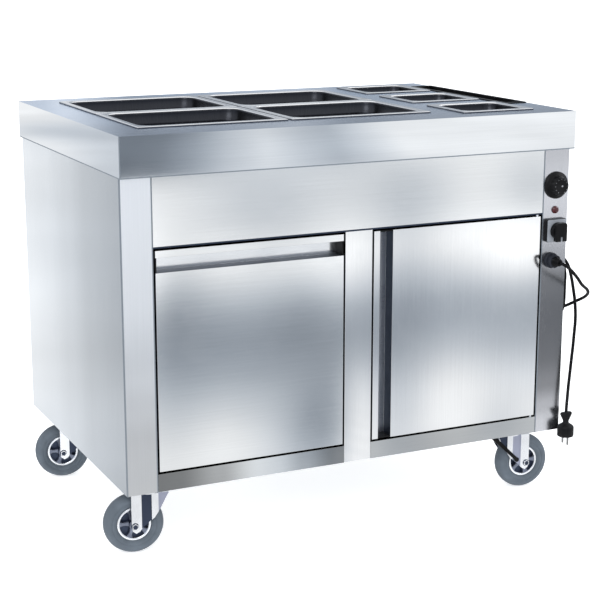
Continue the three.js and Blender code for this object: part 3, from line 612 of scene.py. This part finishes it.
add_fascia()
channelled("drawer_front", STEEL, STEEL_CHANNEL, STEEL_LEDGE_SHADE, 2, 1)
channelled("door_panel", STEEL_UPRIGHT, STEEL_DULL, STEEL_SHADE, 0, -1)
from_cad("base_panel", STEEL_RAIL, 0.6)


def add_control_panel():
    """The narrow panel of the controls, with painted shade on a strip along its folded left edge."""
    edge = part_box("control_panel")[0] + Vector((2.6, 0, 0)) * MM

    def paint(face):
        return 1 if face.calc_center_median().x < edge.x and face.normal.y < -FACING else 0

    from_cad("control_panel", [STEEL_CONTROL, STEEL_EDGE_SHADE], 0.6, paint=paint, cuts=[(edge, (1, 0, 0))])


add_control_panel()
from_cad("centre_post", STEEL_UPRIGHT, 0.6)


def add_left_side():
    """The side panel and the post, with painted shade on the bend between them and on a strip along the
    post's right edge.
    """
    along, back, seam = at(3.0, 0, 0), at(0, 2.0, 0), at(POST - 2.6, 0, 0)

    def paint(face):
        middle = face.calc_center_median()
        if middle.x < along.x and middle.y < back.y and abs(face.normal.z) < 0.1:
            return 2
        if middle.x > seam.x and face.normal.y < -FACING:
            return 2
        return 1 if face.normal.y < -FACING else 0

    from_cad(
        "left_side_panel", [STEEL_SIDE, STEEL_POST, STEEL_EDGE_SHADE], 0.9, 3, paint,
        cuts=[(along, (1, 0, 0)), (back, (0, 1, 0)), (seam, (1, 0, 0))],
    )


add_left_side()
from_cad("right_side_panel", STEEL_REAR, 0.9, 3)
from_cad("back_panel", STEEL_REAR, 0.9, 3)


def add_worktop():
    """The folded sheet: top, apron, and painted shade on the hem and on the corner where it is bent."""
    corner, hem = at(-0.7, -13.6, 0), at(0, 0, APRON_BOTTOM + 2.4)

    def paint(face):
        middle = face.calc_center_median()
        if face.normal.z > FACING:
            return 1
        if middle.z < hem.z or (middle.x < corner.x and middle.y < corner.y):
            return 2
        return 0

    from_cad(
        "worktop", [STEEL_APRON, STEEL_TOP, STEEL_EDGE_SHADE], 1.2, 3, paint,
        cuts=[(corner, (1, 0, 0)), (corner, (0, 1, 0)), (hem, (0, 0, 1))],
    )


def refinish(node, material):
    """Gives a CAD object that stays as it is a better material."""
    slots = frame["nodes"][node].data.materials
    slots.clear()
    slots.append(material)


ZINC_PARTS = (
    "runner_left", "runner_right", "heating_element", "cord_hook", "door_pin_top", "door_pin_bottom",
)

add_worktop()
from_cad("pan_support_cross", STEEL, 1.2, 2)
from_cad("utensil_trough", BLACK, 0.5, 2)
for node in ("wet_well", "sauce_well", "centre_partition", "cupboard_shelf", "drawer_box"):
    refinish(node, STEEL_INSIDE)
for node in ZINC_PARTS:
    refinish(node, ZINC)
for node in ("drawer_cap_left", "drawer_cap_right", "door_cap_bottom", "door_cap_top"):
    from_cad(node, BLACK, 0.6)
from_cad("thermostat_body", GREY, 0.8)

# ---------------------------------------------------------------- casters

JOINTS = {joint["name"]: joint for joint in frame["joints"]}


TYRE = [  # radius and distance from the wheel's middle, down to the tread's middle
    (35.3, -12), (37.5, -14.6), (41, -16.4), (44.5, -17.6), (45.2, -17.2), (46.4, -17.9), (50, -18.4),
    (53.5, -18.0), (56.6, -16.4), (59, -13.8), (60.8, -10.4), (61.9, -6.8), (62.1, -6.2), (61.6, -5.6),
    (62.3, -4.8), (62.5, -2.4), (62.5, 0),
]
RIM = [
    (35.0, -12.6), (34.4, -13.0), (31.6, -13.0), (30.6, -12.2), (30.2, -10.0), (29.6, -2.0), (29.6, 2.0),
    (30.2, 10.0), (30.6, 12.2), (31.6, 13.0), (34.4, 13.0), (35.0, 12.6),
]
BARREL = [
    (5.4, -19.5), (9.8, -19.5), (10.6, -18.8), (11.6, -10), (12.6, -5), (12.6, 5), (11.6, 10), (10.6, 18.8),
    (9.8, 19.5), (5.4, 19.5),
]
WEB = [(12.0, -1.4), (30.0, -1.4), (30.0, 1.4), (12.0, 1.4)]
SPOKES = 5
SPOKE_SECTIONS = ((11.2, 5.4, 11.0), (17.0, 4.1, 10.0), (24.0, 4.3, 10.4), (30.4, 7.2, 11.6))
SPOKE_OUTLINE = (
    (-1, -0.86), (-0.7, -1), (0.7, -1), (1, -0.86), (1, 0.86), (0.7, 1), (-0.7, 1), (-1, 0.86),
)
RACE = [(22.0, 3.0), (24.5, 3.0), (26.2, 4.4), (26.6, 6.4), (26.0, 8.4), (24.0, 9.2), (22.0, 9.2)]
RIB_FACE = 25.6  # how far from the wheel's middle plane the fork's ribs start


def add_tyre(name, centre, axle):
    bm = bmesh.new()
    profile = TYRE + [(radius, -along) for radius, along in reversed(TYRE[:-1])]
    lathe_into(bm, profile, centre, axle, 72, closed=True)
    add_piece(f"tyre_{name}", bm, RUBBER, f"wheel_{name}", (f"wheel_tyre_{name}",), smooth=50.0)


def add_hub(name, centre, axle):
    """Rim, barrel and web, with five spokes that widen towards the rim."""
    bm = bmesh.new()
    lathe_into(bm, RIM, centre, axle, 64, closed=True)
    lathe_into(bm, BARREL, centre, axle, 40, [1] * len(BARREL), True)
    lathe_into(bm, WEB, centre, axle, 48, [2] * len(WEB), True)
    for i in range(SPOKES):
        turn = Matrix.Rotation(2 * math.pi * i / SPOKES + 0.3, 3, axle)
        along = turn @ Vector((0, 0, 1))
        across = axle.cross(along)
        rings = []
        for reach, half, thick in SPOKE_SECTIONS:
            middle = centre + along * reach * MM
            rings.append([
                bm.verts.new(middle + (across * half * sx + axle * thick * sy) * MM)
                for sx, sy in SPOKE_OUTLINE
            ])
        skin(bm, rings, [1] * len(rings))
    # The web takes the zinc with painted shade.
    finishes = [ZINC, DULL_ZINC, ZINC_PAINTED_SHADE]
    add_piece(f"spoked_hub_{name}", bm, finishes, f"wheel_{name}", (f"wheel_hub_{name}",))


def add_fork(name, pivot, centre, axle):
    """The fork, with parts of its side plates painted darker and lighter than its ribs: painted shade and
    painted reflection, swapped between the left and the right casters.
    """
    trail = Vector((centre.x - pivot.x, centre.y - pivot.y, 0)).normalized()
    # Which zones of the side plates take painted shade and which take painted reflection.
    recess, wedge = (1, 2) if "left" in name else (2, 1)

    def paint(face):
        if abs(face.normal.dot(axle)) < FACING:
            return 0
        middle = face.calc_center_median() - pivot
        if abs(middle.dot(axle)) > RIB_FACE * MM:
            return 0
        reach = middle.dot(trail) / MM
        return recess if -2 < reach < 19 else wedge if reach < -16 else 0

    from_cad(
        f"caster_fork_{name}", [ZINC, ZINC_PAINTED_SHADE, ZINC_PAINTED_REFLECTION], 0.5, 2, paint,
        cuts=[(pivot + trail * reach * MM, trail) for reach in (-16, -2, 19)],
    )


def axle_nut(centre, outward):
    """A washer and a hexagon nut for one end of the axle."""
    bm = bmesh.new()
    lathe_into(bm, [(0, 26.8), (7.6, 26.8), (7.6, 27.8), (0, 27.8)], centre, outward, 32)
    lathe_into(bm, [(0, 27.4), (6.8, 27.4), (6.8, 30.2), (6.0, 31.0), (0, 31.2)], centre, outward, 6)
    return bm


def add_caster(name):
    """Wheel, fork, nuts, swivel race, top plate and, where it has one, brake pedal."""
    pivot = Vector(JOINTS[f"swivel_{name}_turn"]["pos_m"])
    wheel = JOINTS[f"wheel_{name}_spin"]
    axle = Vector(wheel["axis"]).normalized()
    centre = Vector(wheel["pos_m"])
    add_tyre(name, centre, axle)
    add_hub(name, centre, axle)
    add_fork(name, pivot, centre, axle)
    for side, end in ((-1, "a"), (1, "b")):
        nut = axle_nut(centre, axle * side)
        # The nuts take the zinc with painted shade.
        add_piece(f"axle_nut_{name}_{end}", nut, ZINC_PAINTED_SHADE, f"swivel_{name}", bevel=0.4)
    bm = bmesh.new()
    base = Vector((pivot.x, pivot.y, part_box(f"caster_plate_{name}")[1].z))
    lathe_into(bm, RACE, base, (0, 0, -1), 48, closed=True)
    add_piece(f"race_{name}", bm, ZINC, "cabinet")
    from_cad(f"caster_plate_{name}", ZINC, 0.8)
    if f"brake_pedal_{name}" in frame["nodes"]:
        from_cad(f"brake_pedal_{name}", BLACK, 0.8, 2)


for name in ("front_left", "front_right", "rear_left", "rear_right"):
    add_caster(name)

# ---------------------------------------------------------------- controls

FRONT = (0, -1, 0)


def control_centre(node):
    """Where a control's axis meets the cabinet's front."""
    low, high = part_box(node)
    centre = (low + high) / 2
    return Vector((centre.x, CORNER.y, centre.z))


def add_knob():
    """The thermostat's knob, and the marks on its face as a piece of their own."""
    centre = control_centre("thermostat_knob")
    bm = bmesh.new()
    sides, marks, first_mark, between = 72, 11, 150, 30
    profile = [
        (3.2, -21), (3.2, 1.0), (29.3, 1.0), (29.5, 3.2), (28.6, 4.6), (26.6, 6.4), (22.6, 7.8), (21.3, 9.4),
        (19.7, 18.6), (18.8, 20.4), (17.4, 21.3), (14.0, 21.5), (13.2, 20.9), (0, 20.7),
    ]
    grip = lathe_into(bm, profile, centre, FRONT, sides)[7:9]
    for ring in grip:
        for i, vertex in enumerate(ring):
            if i % 4 > 1:  # the grooves between the grip's ribs
                out = vertex.co - centre
                out.y = 0
                vertex.co -= out.normalized() * 0.9 * MM
    add_piece("knob_cap", bm, BLACK, "thermostat", ("thermostat_knob",), smooth=35.0)
    bm = bmesh.new()
    for i in range(marks):
        turn = math.radians(first_mark - between * i)
        along = Vector((math.sin(turn), 0, math.cos(turn)))
        across = Vector((math.cos(turn), 0, -math.sin(turn)))
        corners = []
        for depth in (21.2, 21.7):
            for reach, side in ((14.6, -1), (14.6, 1), (16.4, 1), (16.4, -1)):
                place = along * reach + across * 0.4 * side + Vector((0, -depth, 0))
                corners.append(bm.verts.new(centre + place * MM))
        block_into(bm, corners)
    spot = centre + Vector((2.6 * MM, 0, 0))
    lathe_into(bm, [(0, 20.6), (2.0, 20.6), (2.0, 21.1), (0, 21.2)], spot, FRONT, 20)
    add_piece("knob_marks", bm, MARK, "thermostat")


def add_lamp():
    centre = control_centre("indicator_lamp")
    bm = bmesh.new()
    profile = [
        (0, -24), (6, -24), (6, 0.2), (8.2, 0.3), (8.2, 1.8), (7.6, 3.4), (6.0, 4.9), (3.4, 5.9), (0, 6.2),
    ]
    lathe_into(bm, profile, centre, FRONT, 40)
    add_piece("lamp_lens_cap", bm, LENS, "cabinet", ("indicator_lamp",))


def add_switch():
    centre = control_centre("isolator_switch")
    front = CORNER.y

    def slab(bm, half_x, half_z, depths, radius=4.0):
        rings = []
        for half_add, depth in depths:
            ring = rounded_ring(
                bm, (half_x + half_add) * MM, (half_z + half_add) * MM, radius * MM, (0, 0), 0.0, 5
            )
            for vertex in ring:
                vertex.co = Vector((centre.x + vertex.co.x, front - depth * MM, centre.z + vertex.co.y))
            rings.append(ring)
        return rings

    bm = bmesh.new()
    skin(bm, slab(bm, 25, 25, ((0, 0.3), (0, 8.8), (-0.8, 9.6))), [0, 0, 0])
    box_into(bm, centre + Vector((-18, 0.5, -18)) * MM, centre + Vector((18, 42, 18)) * MM)
    add_piece("switch_base", bm, BLACK, "cabinet", ("isolator_switch",), bevel=0.4)
    bm = bmesh.new()
    skin(bm, slab(bm, 24, 24, ((0, 9.4), (0, 11.0), (-0.8, 11.8)), 3.0), [0, 0, 0])
    add_piece("switch_face_plate", bm, FACE_GREY, "cabinet")

    bm = bmesh.new()
    collar = [
        (0, 3.8), (4.2, 3.8), (4.2, 12.3), (18.5, 12.3), (18.4, 20.6), (17.6, 21.8), (16.2, 22.2), (0, 22.2),
    ]
    lathe_into(bm, collar, centre, FRONT, 56)
    rings = []
    outline = (
        (-13.5, -22), (-3, -22), (-3, -11.5), (3, -11.5), (3, -22), (12.5, -22), (13.5, -21),
        (13.5, 15), (9.5, 19), (-10.5, 19), (-14.5, 15), (-14.5, -21),
    )
    for inset, depth in ((0, 20.0), (0, 29.6), (0.5, 30.8), (1.2, 31.2)):
        rings.append([
            bm.verts.new((
                centre.x + x * MM * (1 - inset / 13),
                front - depth * MM,
                centre.z + z * MM * (1 - inset / 22),
            ))
            for x, z in outline
        ])
    skin(bm, rings, [0] * len(rings))
    add_piece("switch_handle", bm, BLACK, "isolator", ("isolator_handle",), bevel=0.5)
    bm = bmesh.new()
    box_into(bm, centre + Vector((-2.9, -28.5, -21.6)) * MM, centre + Vector((2.9, -24.0, -11.6)) * MM)
    add_piece("switch_pointer", bm, FACE_GREY, "isolator")


def add_gland():
    centre = control_centre("cable_gland")
    bm = bmesh.new()
    lathe_into(bm, [(0, -15), (9, -15), (9, -8), (0, -8)], centre, FRONT, 32)
    lathe_into(bm, [(0, -8.5), (14, -8.5), (14, -1.8), (9, -1.6), (9, 0.4), (0, 0.4)], centre, FRONT, 6)
    lathe_into(bm, [(0, 0.4), (17, 0.4), (17, 6.4), (15.6, 7.6), (0, 7.6)], centre, FRONT, 48)
    lathe_into(bm, [(0, 7.6), (15.0, 7.6), (15.2, 18.4), (13.8, 20.2), (0, 20.2)], centre, FRONT, 8)
    boot = [(0, 20.2), (11.0, 20.2), (11.0, 22.0)]
    for i in range(5):
        reach = 22.6 + i * 3.1
        radius = 10.6 - i * 0.8
        boot += [(radius, reach), (radius, reach + 1.5)]
        boot += [(radius - 0.9, reach + 1.8), (radius - 0.9, reach + 2.8)]
    boot += [(4.5, 38.0), (0, 38.0)]
    lathe_into(bm, boot, centre, FRONT, 32, [1] * len(boot))
    add_piece(
        "gland_and_boot", bm, [GREY, BLACK], "cabinet", ("cable_gland",), bevel=0.3
    )


# The plug, by height from its top: its round body, its flat wings, and one of its two pins.
PLUG_BODY = [
    (0, -56), (16.0, -56), (17.8, -55.2), (18.5, -53.4), (18.5, -35.4), (17.6, -32.6), (15.4, -30.2),
    (11.0, -27.4), (7.6, -25.0), (6.5, -22.6), (6.5, -16), (0, -16),
]
PLUG_WINGS = [
    (-22.5, 5.6, 5.4), (-19, 6.4, 5.4), (-12, 10.6, 5.0), (-6, 13.8, 4.8), (-3, 14.5, 4.6), (-1, 13.6, 4.4),
    (0, 12.2, 3.6),
]
PLUG_PIN = [(0, -75), (1.6, -75), (2.4, -73.6), (2.4, -55.4), (0, -55.4)]
PLUG_RIBS = 12


def add_plug():
    low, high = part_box("plug")
    centre = (low + high) / 2
    top = high.z / MM
    bm = bmesh.new()
    body = [(radius, top + z) for radius, z in PLUG_BODY]
    lathe_into(bm, body, (centre.x, centre.y, 0), (0, 0, 1), 56)
    for i in range(PLUG_RIBS):
        turn = 2 * math.pi * i / PLUG_RIBS
        out = Vector((math.cos(turn), math.sin(turn), 0))
        middle = Vector((centre.x, centre.y, 0)) + out * 18.0 * MM
        side = Vector((-out.y, out.x, 0))
        corners = [
            bm.verts.new(middle + out * r * MM + side * s * MM + Vector((0, 0, (top + z) * MM)))
            for z in (-51.5, -36.5) for r, s in ((-1, -1.1), (0.5, -0.6), (0.5, 0.6), (-1, 1.1))
        ]
        block_into(bm, corners)
    rings = [
        rounded_ring(bm, half_x * MM, half_y * MM, 3.4 * MM, (centre.x, centre.y), (top + z) * MM, 5)
        for z, half_x, half_y in PLUG_WINGS
    ]
    skin(bm, rings, [0] * len(rings))
    plug = add_piece("plug_moulding", bm, BLACK, "cabinet", ("plug",), smooth=45.0)
    bm = bmesh.new()
    apart = 9.5 * MM  # half the pins' distance
    for side in (-1, 1):
        foot = Vector((centre.x, centre.y + side * apart, 0))
        lathe_into(bm, [(radius, top + z) for radius, z in PLUG_PIN], foot, (0, 0, 1), 24)
    pins = add_piece("plug_pins", bm, BRASS, "cabinet")
    return [plug, pins]


add_knob()
add_lamp()
add_switch()
add_gland()
lead, lead_line, lead_length = add_cord(LEAD)
plug_pieces = add_plug()
tuple(lead_line[0])

# ---------------------------------------------------------------- floor, lights and camera


def add_floor():
    n = Nodes("floor_paint")
    cloud = n.noise(0.8, 3.0)
    base = n.mix(n.spread(cloud, 0.0, 1.0), (0.86, 0.865, 0.87), (0.89, 0.892, 0.895))
    n.set(Base_Color=base, Roughness=0.85, Emission_Color=(1, 1, 1), Emission_Strength=0.6)
    bm = bmesh.new()
    bmesh.ops.create_grid(bm, x_segments=2, y_segments=2, size=60.0)
    mesh = bpy.data.meshes.new("floor")
    bm.to_mesh(mesh)
    bm.free()
    mesh.materials.append(n.material)
    floor = bpy.data.objects.new("floor", mesh)
    bpy.context.scene.collection.objects.link(floor)


def steps(*parts):
    """Places along one axis: (start, end, count) stretches, joined."""
    return np.concatenate([np.linspace(start, end, count, endpoint=False) for start, end, count in parts])


# Dimmer parts of a reflector are cooler: the shares of red they lose and of blue they gain.
LESS_RED, MORE_BLUE = 0.15, 0.20


def add_card(name, across, up, place, glow):
    """A softly graded reflector that only mirrors see; glow gives the brightness at (across, up)."""
    wide, high = np.meshgrid(across, up)
    tone = glow(wide, high)
    cool = np.clip(1.0 - tone, 0, 1)
    red, blue = tone * (1 - LESS_RED * cool), tone * (1 + MORE_BLUE * cool)
    colours = np.stack([red, tone, blue, np.ones_like(tone)], axis=-1)
    mesh = bpy.data.meshes.new(name)
    bm = bmesh.new()
    rows = [[bm.verts.new(place(x, y)) for x in across] for y in up]
    for low, top in zip(rows, rows[1:]):
        for i in range(len(across) - 1):
            bm.faces.new((low[i], low[i + 1], top[i + 1], top[i]))
    bm.to_mesh(mesh)
    bm.free()
    layer = mesh.color_attributes.new("glow", "FLOAT_COLOR", "POINT")
    layer.data.foreach_set("color", colours.reshape(-1).astype(np.float32))
    n = Nodes(name)
    n.set(Base_Color=(0, 0, 0), Roughness=1.0, Specular_IOR_Level=0.0)
    painted = n.add("ShaderNodeAttribute", attribute_name="glow")
    n.link(painted.outputs["Color"], n.shader.inputs["Emission Color"])
    n.link(n.spread(n.noise(1.1, 2.0), 0.9, 1.1, 0.3, 0.7), n.shader.inputs["Emission Strength"])
    n.material.cycles.emission_sampling = "NONE"
    mesh.materials.append(n.material)
    card = bpy.data.objects.new(name, mesh)
    bpy.context.scene.collection.objects.link(card)
    card.visible_camera = False
    card.visible_diffuse = False
    card.visible_shadow = False
    card.visible_transmission = False


def add_light(name, location, target, size, power):
    light = bpy.data.lights.new(name, "AREA")
    light.shape = "RECTANGLE"
    light.size, light.size_y = size
    light.energy = power
    lamp = bpy.data.objects.new(name, light)
    lamp.location = location
    direction = Vector(target) - Vector(location)
    lamp.rotation_euler = direction.to_track_quat("-Z", "Y").to_euler()
    bpy.context.scene.collection.objects.link(lamp)


def add_world():
    """A white dome above a cooler band at the horizon."""
    world = bpy.data.worlds.new("studio")
    world.use_nodes = True
    tree = world.node_tree
    background = tree.nodes["Background"]
    coords = tree.nodes.new("ShaderNodeTexCoord")
    split = tree.nodes.new("ShaderNodeSeparateXYZ")
    ramp = tree.nodes.new("ShaderNodeValToRGB")
    stops = [
        (0.0, (0.50, 0.56, 0.70)),
        (0.06, (0.42, 0.47, 0.60)),
        (0.14, (0.50, 0.56, 0.68)),
        (0.30, (0.95, 0.97, 1.0)),
        (1.0, (1.0, 1.0, 1.0)),
    ]
    while len(ramp.color_ramp.elements) < len(stops):
        ramp.color_ramp.elements.new(0.5)
    for element, (position, colour) in zip(ramp.color_ramp.elements, stops):
        element.position = position
        element.color = (*colour, 1.0)
    tree.links.new(coords.outputs["Generated"], split.inputs[0])
    tree.links.new(split.outputs["Z"], ramp.inputs["Fac"])
    tree.links.new(ramp.outputs["Color"], background.inputs["Color"])
    background.inputs["Strength"].default_value = 1.2
    bpy.context.scene.world = world


# The lying reflectors are this high above the floor. The one in front ends at FRONT_EDGE, where
# those beside the unit start, and the upright one stands at BEHIND; all are in metres.
CARD_HEIGHT = 0.004
FRONT_EDGE = -0.34
BEHIND = 2.0
# Brightness of the reflector in front, by y.
FLOOR_GRADE = [
    (-14.0, 0.9), (-4.95, 0.87), (-3.74, 0.87), (-3.45, 0.98), (-3.13, 1.22), (-2.87, 1.20), (-2.56, 0.82),
    (-2.16, 0.43), (-1.81, 0.35), (-1.52, 0.47), (-1.26, 0.70), (-1.07, 0.86), (-0.9, 0.97), (-0.72, 0.94),
]
# Brighter and darker patches in it, each given where the front mirrors it: x and z of its middle and
# its half sizes, in millimetres from the cabinet's corner, and its gain.
FRONT_PATCHES = [
    (15, 715, 60, 120, 0.45),
    (15, 485, 42, 140, 0.80),
    (110, 755, 55, 60, 0.12),
    (310, 715, 85, 110, -0.24),
    (620, 710, 60, 100, -0.32),
    (700, 695, 40, 80, -0.10),
    (790, 745, 60, 80, 0.20),
    (922, 705, 42, 90, -0.26),
    (425, 245, 95, 120, -0.62),
    (620, 405, 50, 300, -0.05),
    (620, 245, 50, 120, -0.20),
    (620, 565, 60, 90, -0.26),
    (740, 355, 90, 110, 0.42),
    (908, 540, 90, 110, 0.62),
    (110, 545, 60, 100, -0.45),
    (200, 265, 60, 120, 0.16),
    (240, 630, 80, 40, 0.14),
    (375, 500, 55, 70, -0.22),
    (470, 585, 45, 100, 0.20),
    (455, 345, 35, 70, -0.12),
    (512, 285, 32, 200, 0.60),
    (860, 195, 60, 60, -0.18),
]
# Its far part, from left to right along lines that lean. It takes over between FAR's start and end.
FAR_GRADE = [
    (0.8, 0.22), (1.41, 0.23), (1.59, 0.26), (1.81, 0.43), (2.02, 0.68), (2.27, 0.86), (2.52, 0.66),
    (2.73, 0.56), (2.95, 0.76), (3.19, 1.0), (4.48, 1.1), (8.0, 1.1),
]
FAR = {"start": -5.1, "end": -5.22, "middle": -5.94, "lean": -0.42}
# Brightness of the upright reflector behind, from left to right.
BACK_GRADE = [
    (-0.8, 0.7), (0.0, 0.68), (0.06, 0.9), (0.14, 0.74), (0.21, 0.56), (0.3, 0.32), (0.6, 0.44), (0.95, 0.68),
    (1.14, 0.42), (1.3, 0.45), (1.45, 0.5), (2.1, 0.42), (4.2, 0.42),
]
# Brightness of the one to the left, by y along lines that lean, with its gain by x and a dim spot.
LEFT_GRADE = [(-2.0, 0.7), (1.2, 0.7), (1.6, 0.8), (2.2, 0.96), (2.8, 1.03), (9.0, 1.03)]
LEFT_LINE = {"x": -1.0, "lean": 3.08}
LEFT_NEAR = [(-1.8, 1.0), (-1.3, 0.97), (-0.88, 1.13), (-0.68, 1.1), (-0.6, 1.05)]
LEFT_SHADE = {"middle": (-2.4, 6.65), "half": (0.3, 0.55), "gain": -0.32}
# Brightness of those to the right and behind, by distance from the unit's sides, which are half its
# width and half its depth from the middle. Their bands wander a little.
AWAY_GRADE = [
    (0.0, 0.5), (0.35, 0.46), (0.9, 0.72), (1.6, 0.56), (2.6, 0.84), (4.0, 0.66), (7.0, 0.86), (14.0, 0.9),
]
HALF_WIDTH, HALF_DEPTH = 0.52, 0.36
WANDER = {"size": 0.12, "rate": 1.7}


def graded(value, stops):
    places, levels = zip(*stops)
    return np.interp(value, places, levels)


def on_floor(x, z, half_x, half_z):
    """Where on the floor the front mirrors a patch: its middle, half sizes and sideways lean."""
    eye, spot = Vector(CAMERA["location"]), at(x, 0, z)
    ahead = spot.y - eye.y
    reach = spot.z / (eye.z - spot.z)
    lean = (eye.x - spot.x) / ahead
    half_y = ahead * eye.z * half_z * MM / (eye.z - spot.z) ** 2
    return spot.x - lean * ahead * reach, spot.y - ahead * reach, half_x * MM * (1 + reach), half_y, lean


def floor_glow(x, y):
    tone = graded(y, FLOOR_GRADE)
    for *patch, gain in FRONT_PATCHES:
        middle_x, middle_y, half_x, half_y, lean = on_floor(*patch)
        aside = (x - middle_x - lean * (y - middle_y)) / half_x
        ahead = (y - middle_y) / half_y
        tone = tone * (1 + gain * np.exp(-(aside**2) - ahead**2))
    far = graded(x - FAR["lean"] * (y - FAR["middle"]), FAR_GRADE)
    weight = np.clip((FAR["start"] - y) / (FAR["start"] - FAR["end"]), 0, 1)
    return tone * (1 - weight) + far * weight


def left_glow(x, y):
    along = y + LEFT_LINE["lean"] * (x - LEFT_LINE["x"])
    tone = graded(along, LEFT_GRADE) * graded(x, LEFT_NEAR)
    aside = (x - LEFT_SHADE["middle"][0]) / LEFT_SHADE["half"][0]
    ahead = (y - LEFT_SHADE["middle"][1]) / LEFT_SHADE["half"][1]
    return tone * (1 + LEFT_SHADE["gain"] * np.exp(-(aside**2) - ahead**2))


def away_glow(x, y):
    distance = np.maximum(x - HALF_WIDTH, y - HALF_DEPTH)
    return graded(distance + WANDER["size"] * np.sin(WANDER["rate"] * (x - y)), AWAY_GRADE)


def lying(x, y):
    return x, y, CARD_HEIGHT


def standing(x, z):
    return x, BEHIND, z


def add_stage():
    add_floor()
    add_world()
    across = steps((-8, -1.5, 13), (-1.5, 5.5, 140), (5.5, 14, 17))
    away = steps(
        (-14, -7.4, 22), (-7.4, -5.4, 40), (-5.4, -5.15, 10), (-5.15, -2.6, 85), (-2.6, FRONT_EDGE, 113)
    )
    add_card("floor_reflector", across, away, lying, floor_glow)
    across, up = steps((-0.8, 4.2, 200)), steps((0.9, 3.0, 10))
    add_card("back_reflector", across, up, standing, lambda x, z: graded(x, BACK_GRADE))
    across, away = steps((-9.0, -1.0, 80), (-1.0, -0.58, 21)), steps((FRONT_EDGE, 14.0, 100))
    add_card("left_reflector", across, away, lying, left_glow)
    across, away = steps((0.7, 3.0, 40), (3.0, 14.0, 30)), steps((FRONT_EDGE, 0.62, 20))
    add_card("right_reflector", across, away, lying, away_glow)
    across, away = steps((-0.6, 3.0, 50), (3.0, 14.0, 30)), steps((0.6, 3.0, 50), (3.0, 14.0, 40))
    add_card("rear_reflector", across, away, lying, away_glow)
    add_light("key", (-2.6, -3.2, 3.4), (0, 0, 0.5), (2.4, 2.4), 60)
    add_light("fill", (3.4, -1.6, 2.6), (0, 0, 0.5), (2.0, 2.0), 30)


add_stage()
add_camera()
bpy.context.scene.view_settings.view_transform = "Standard"
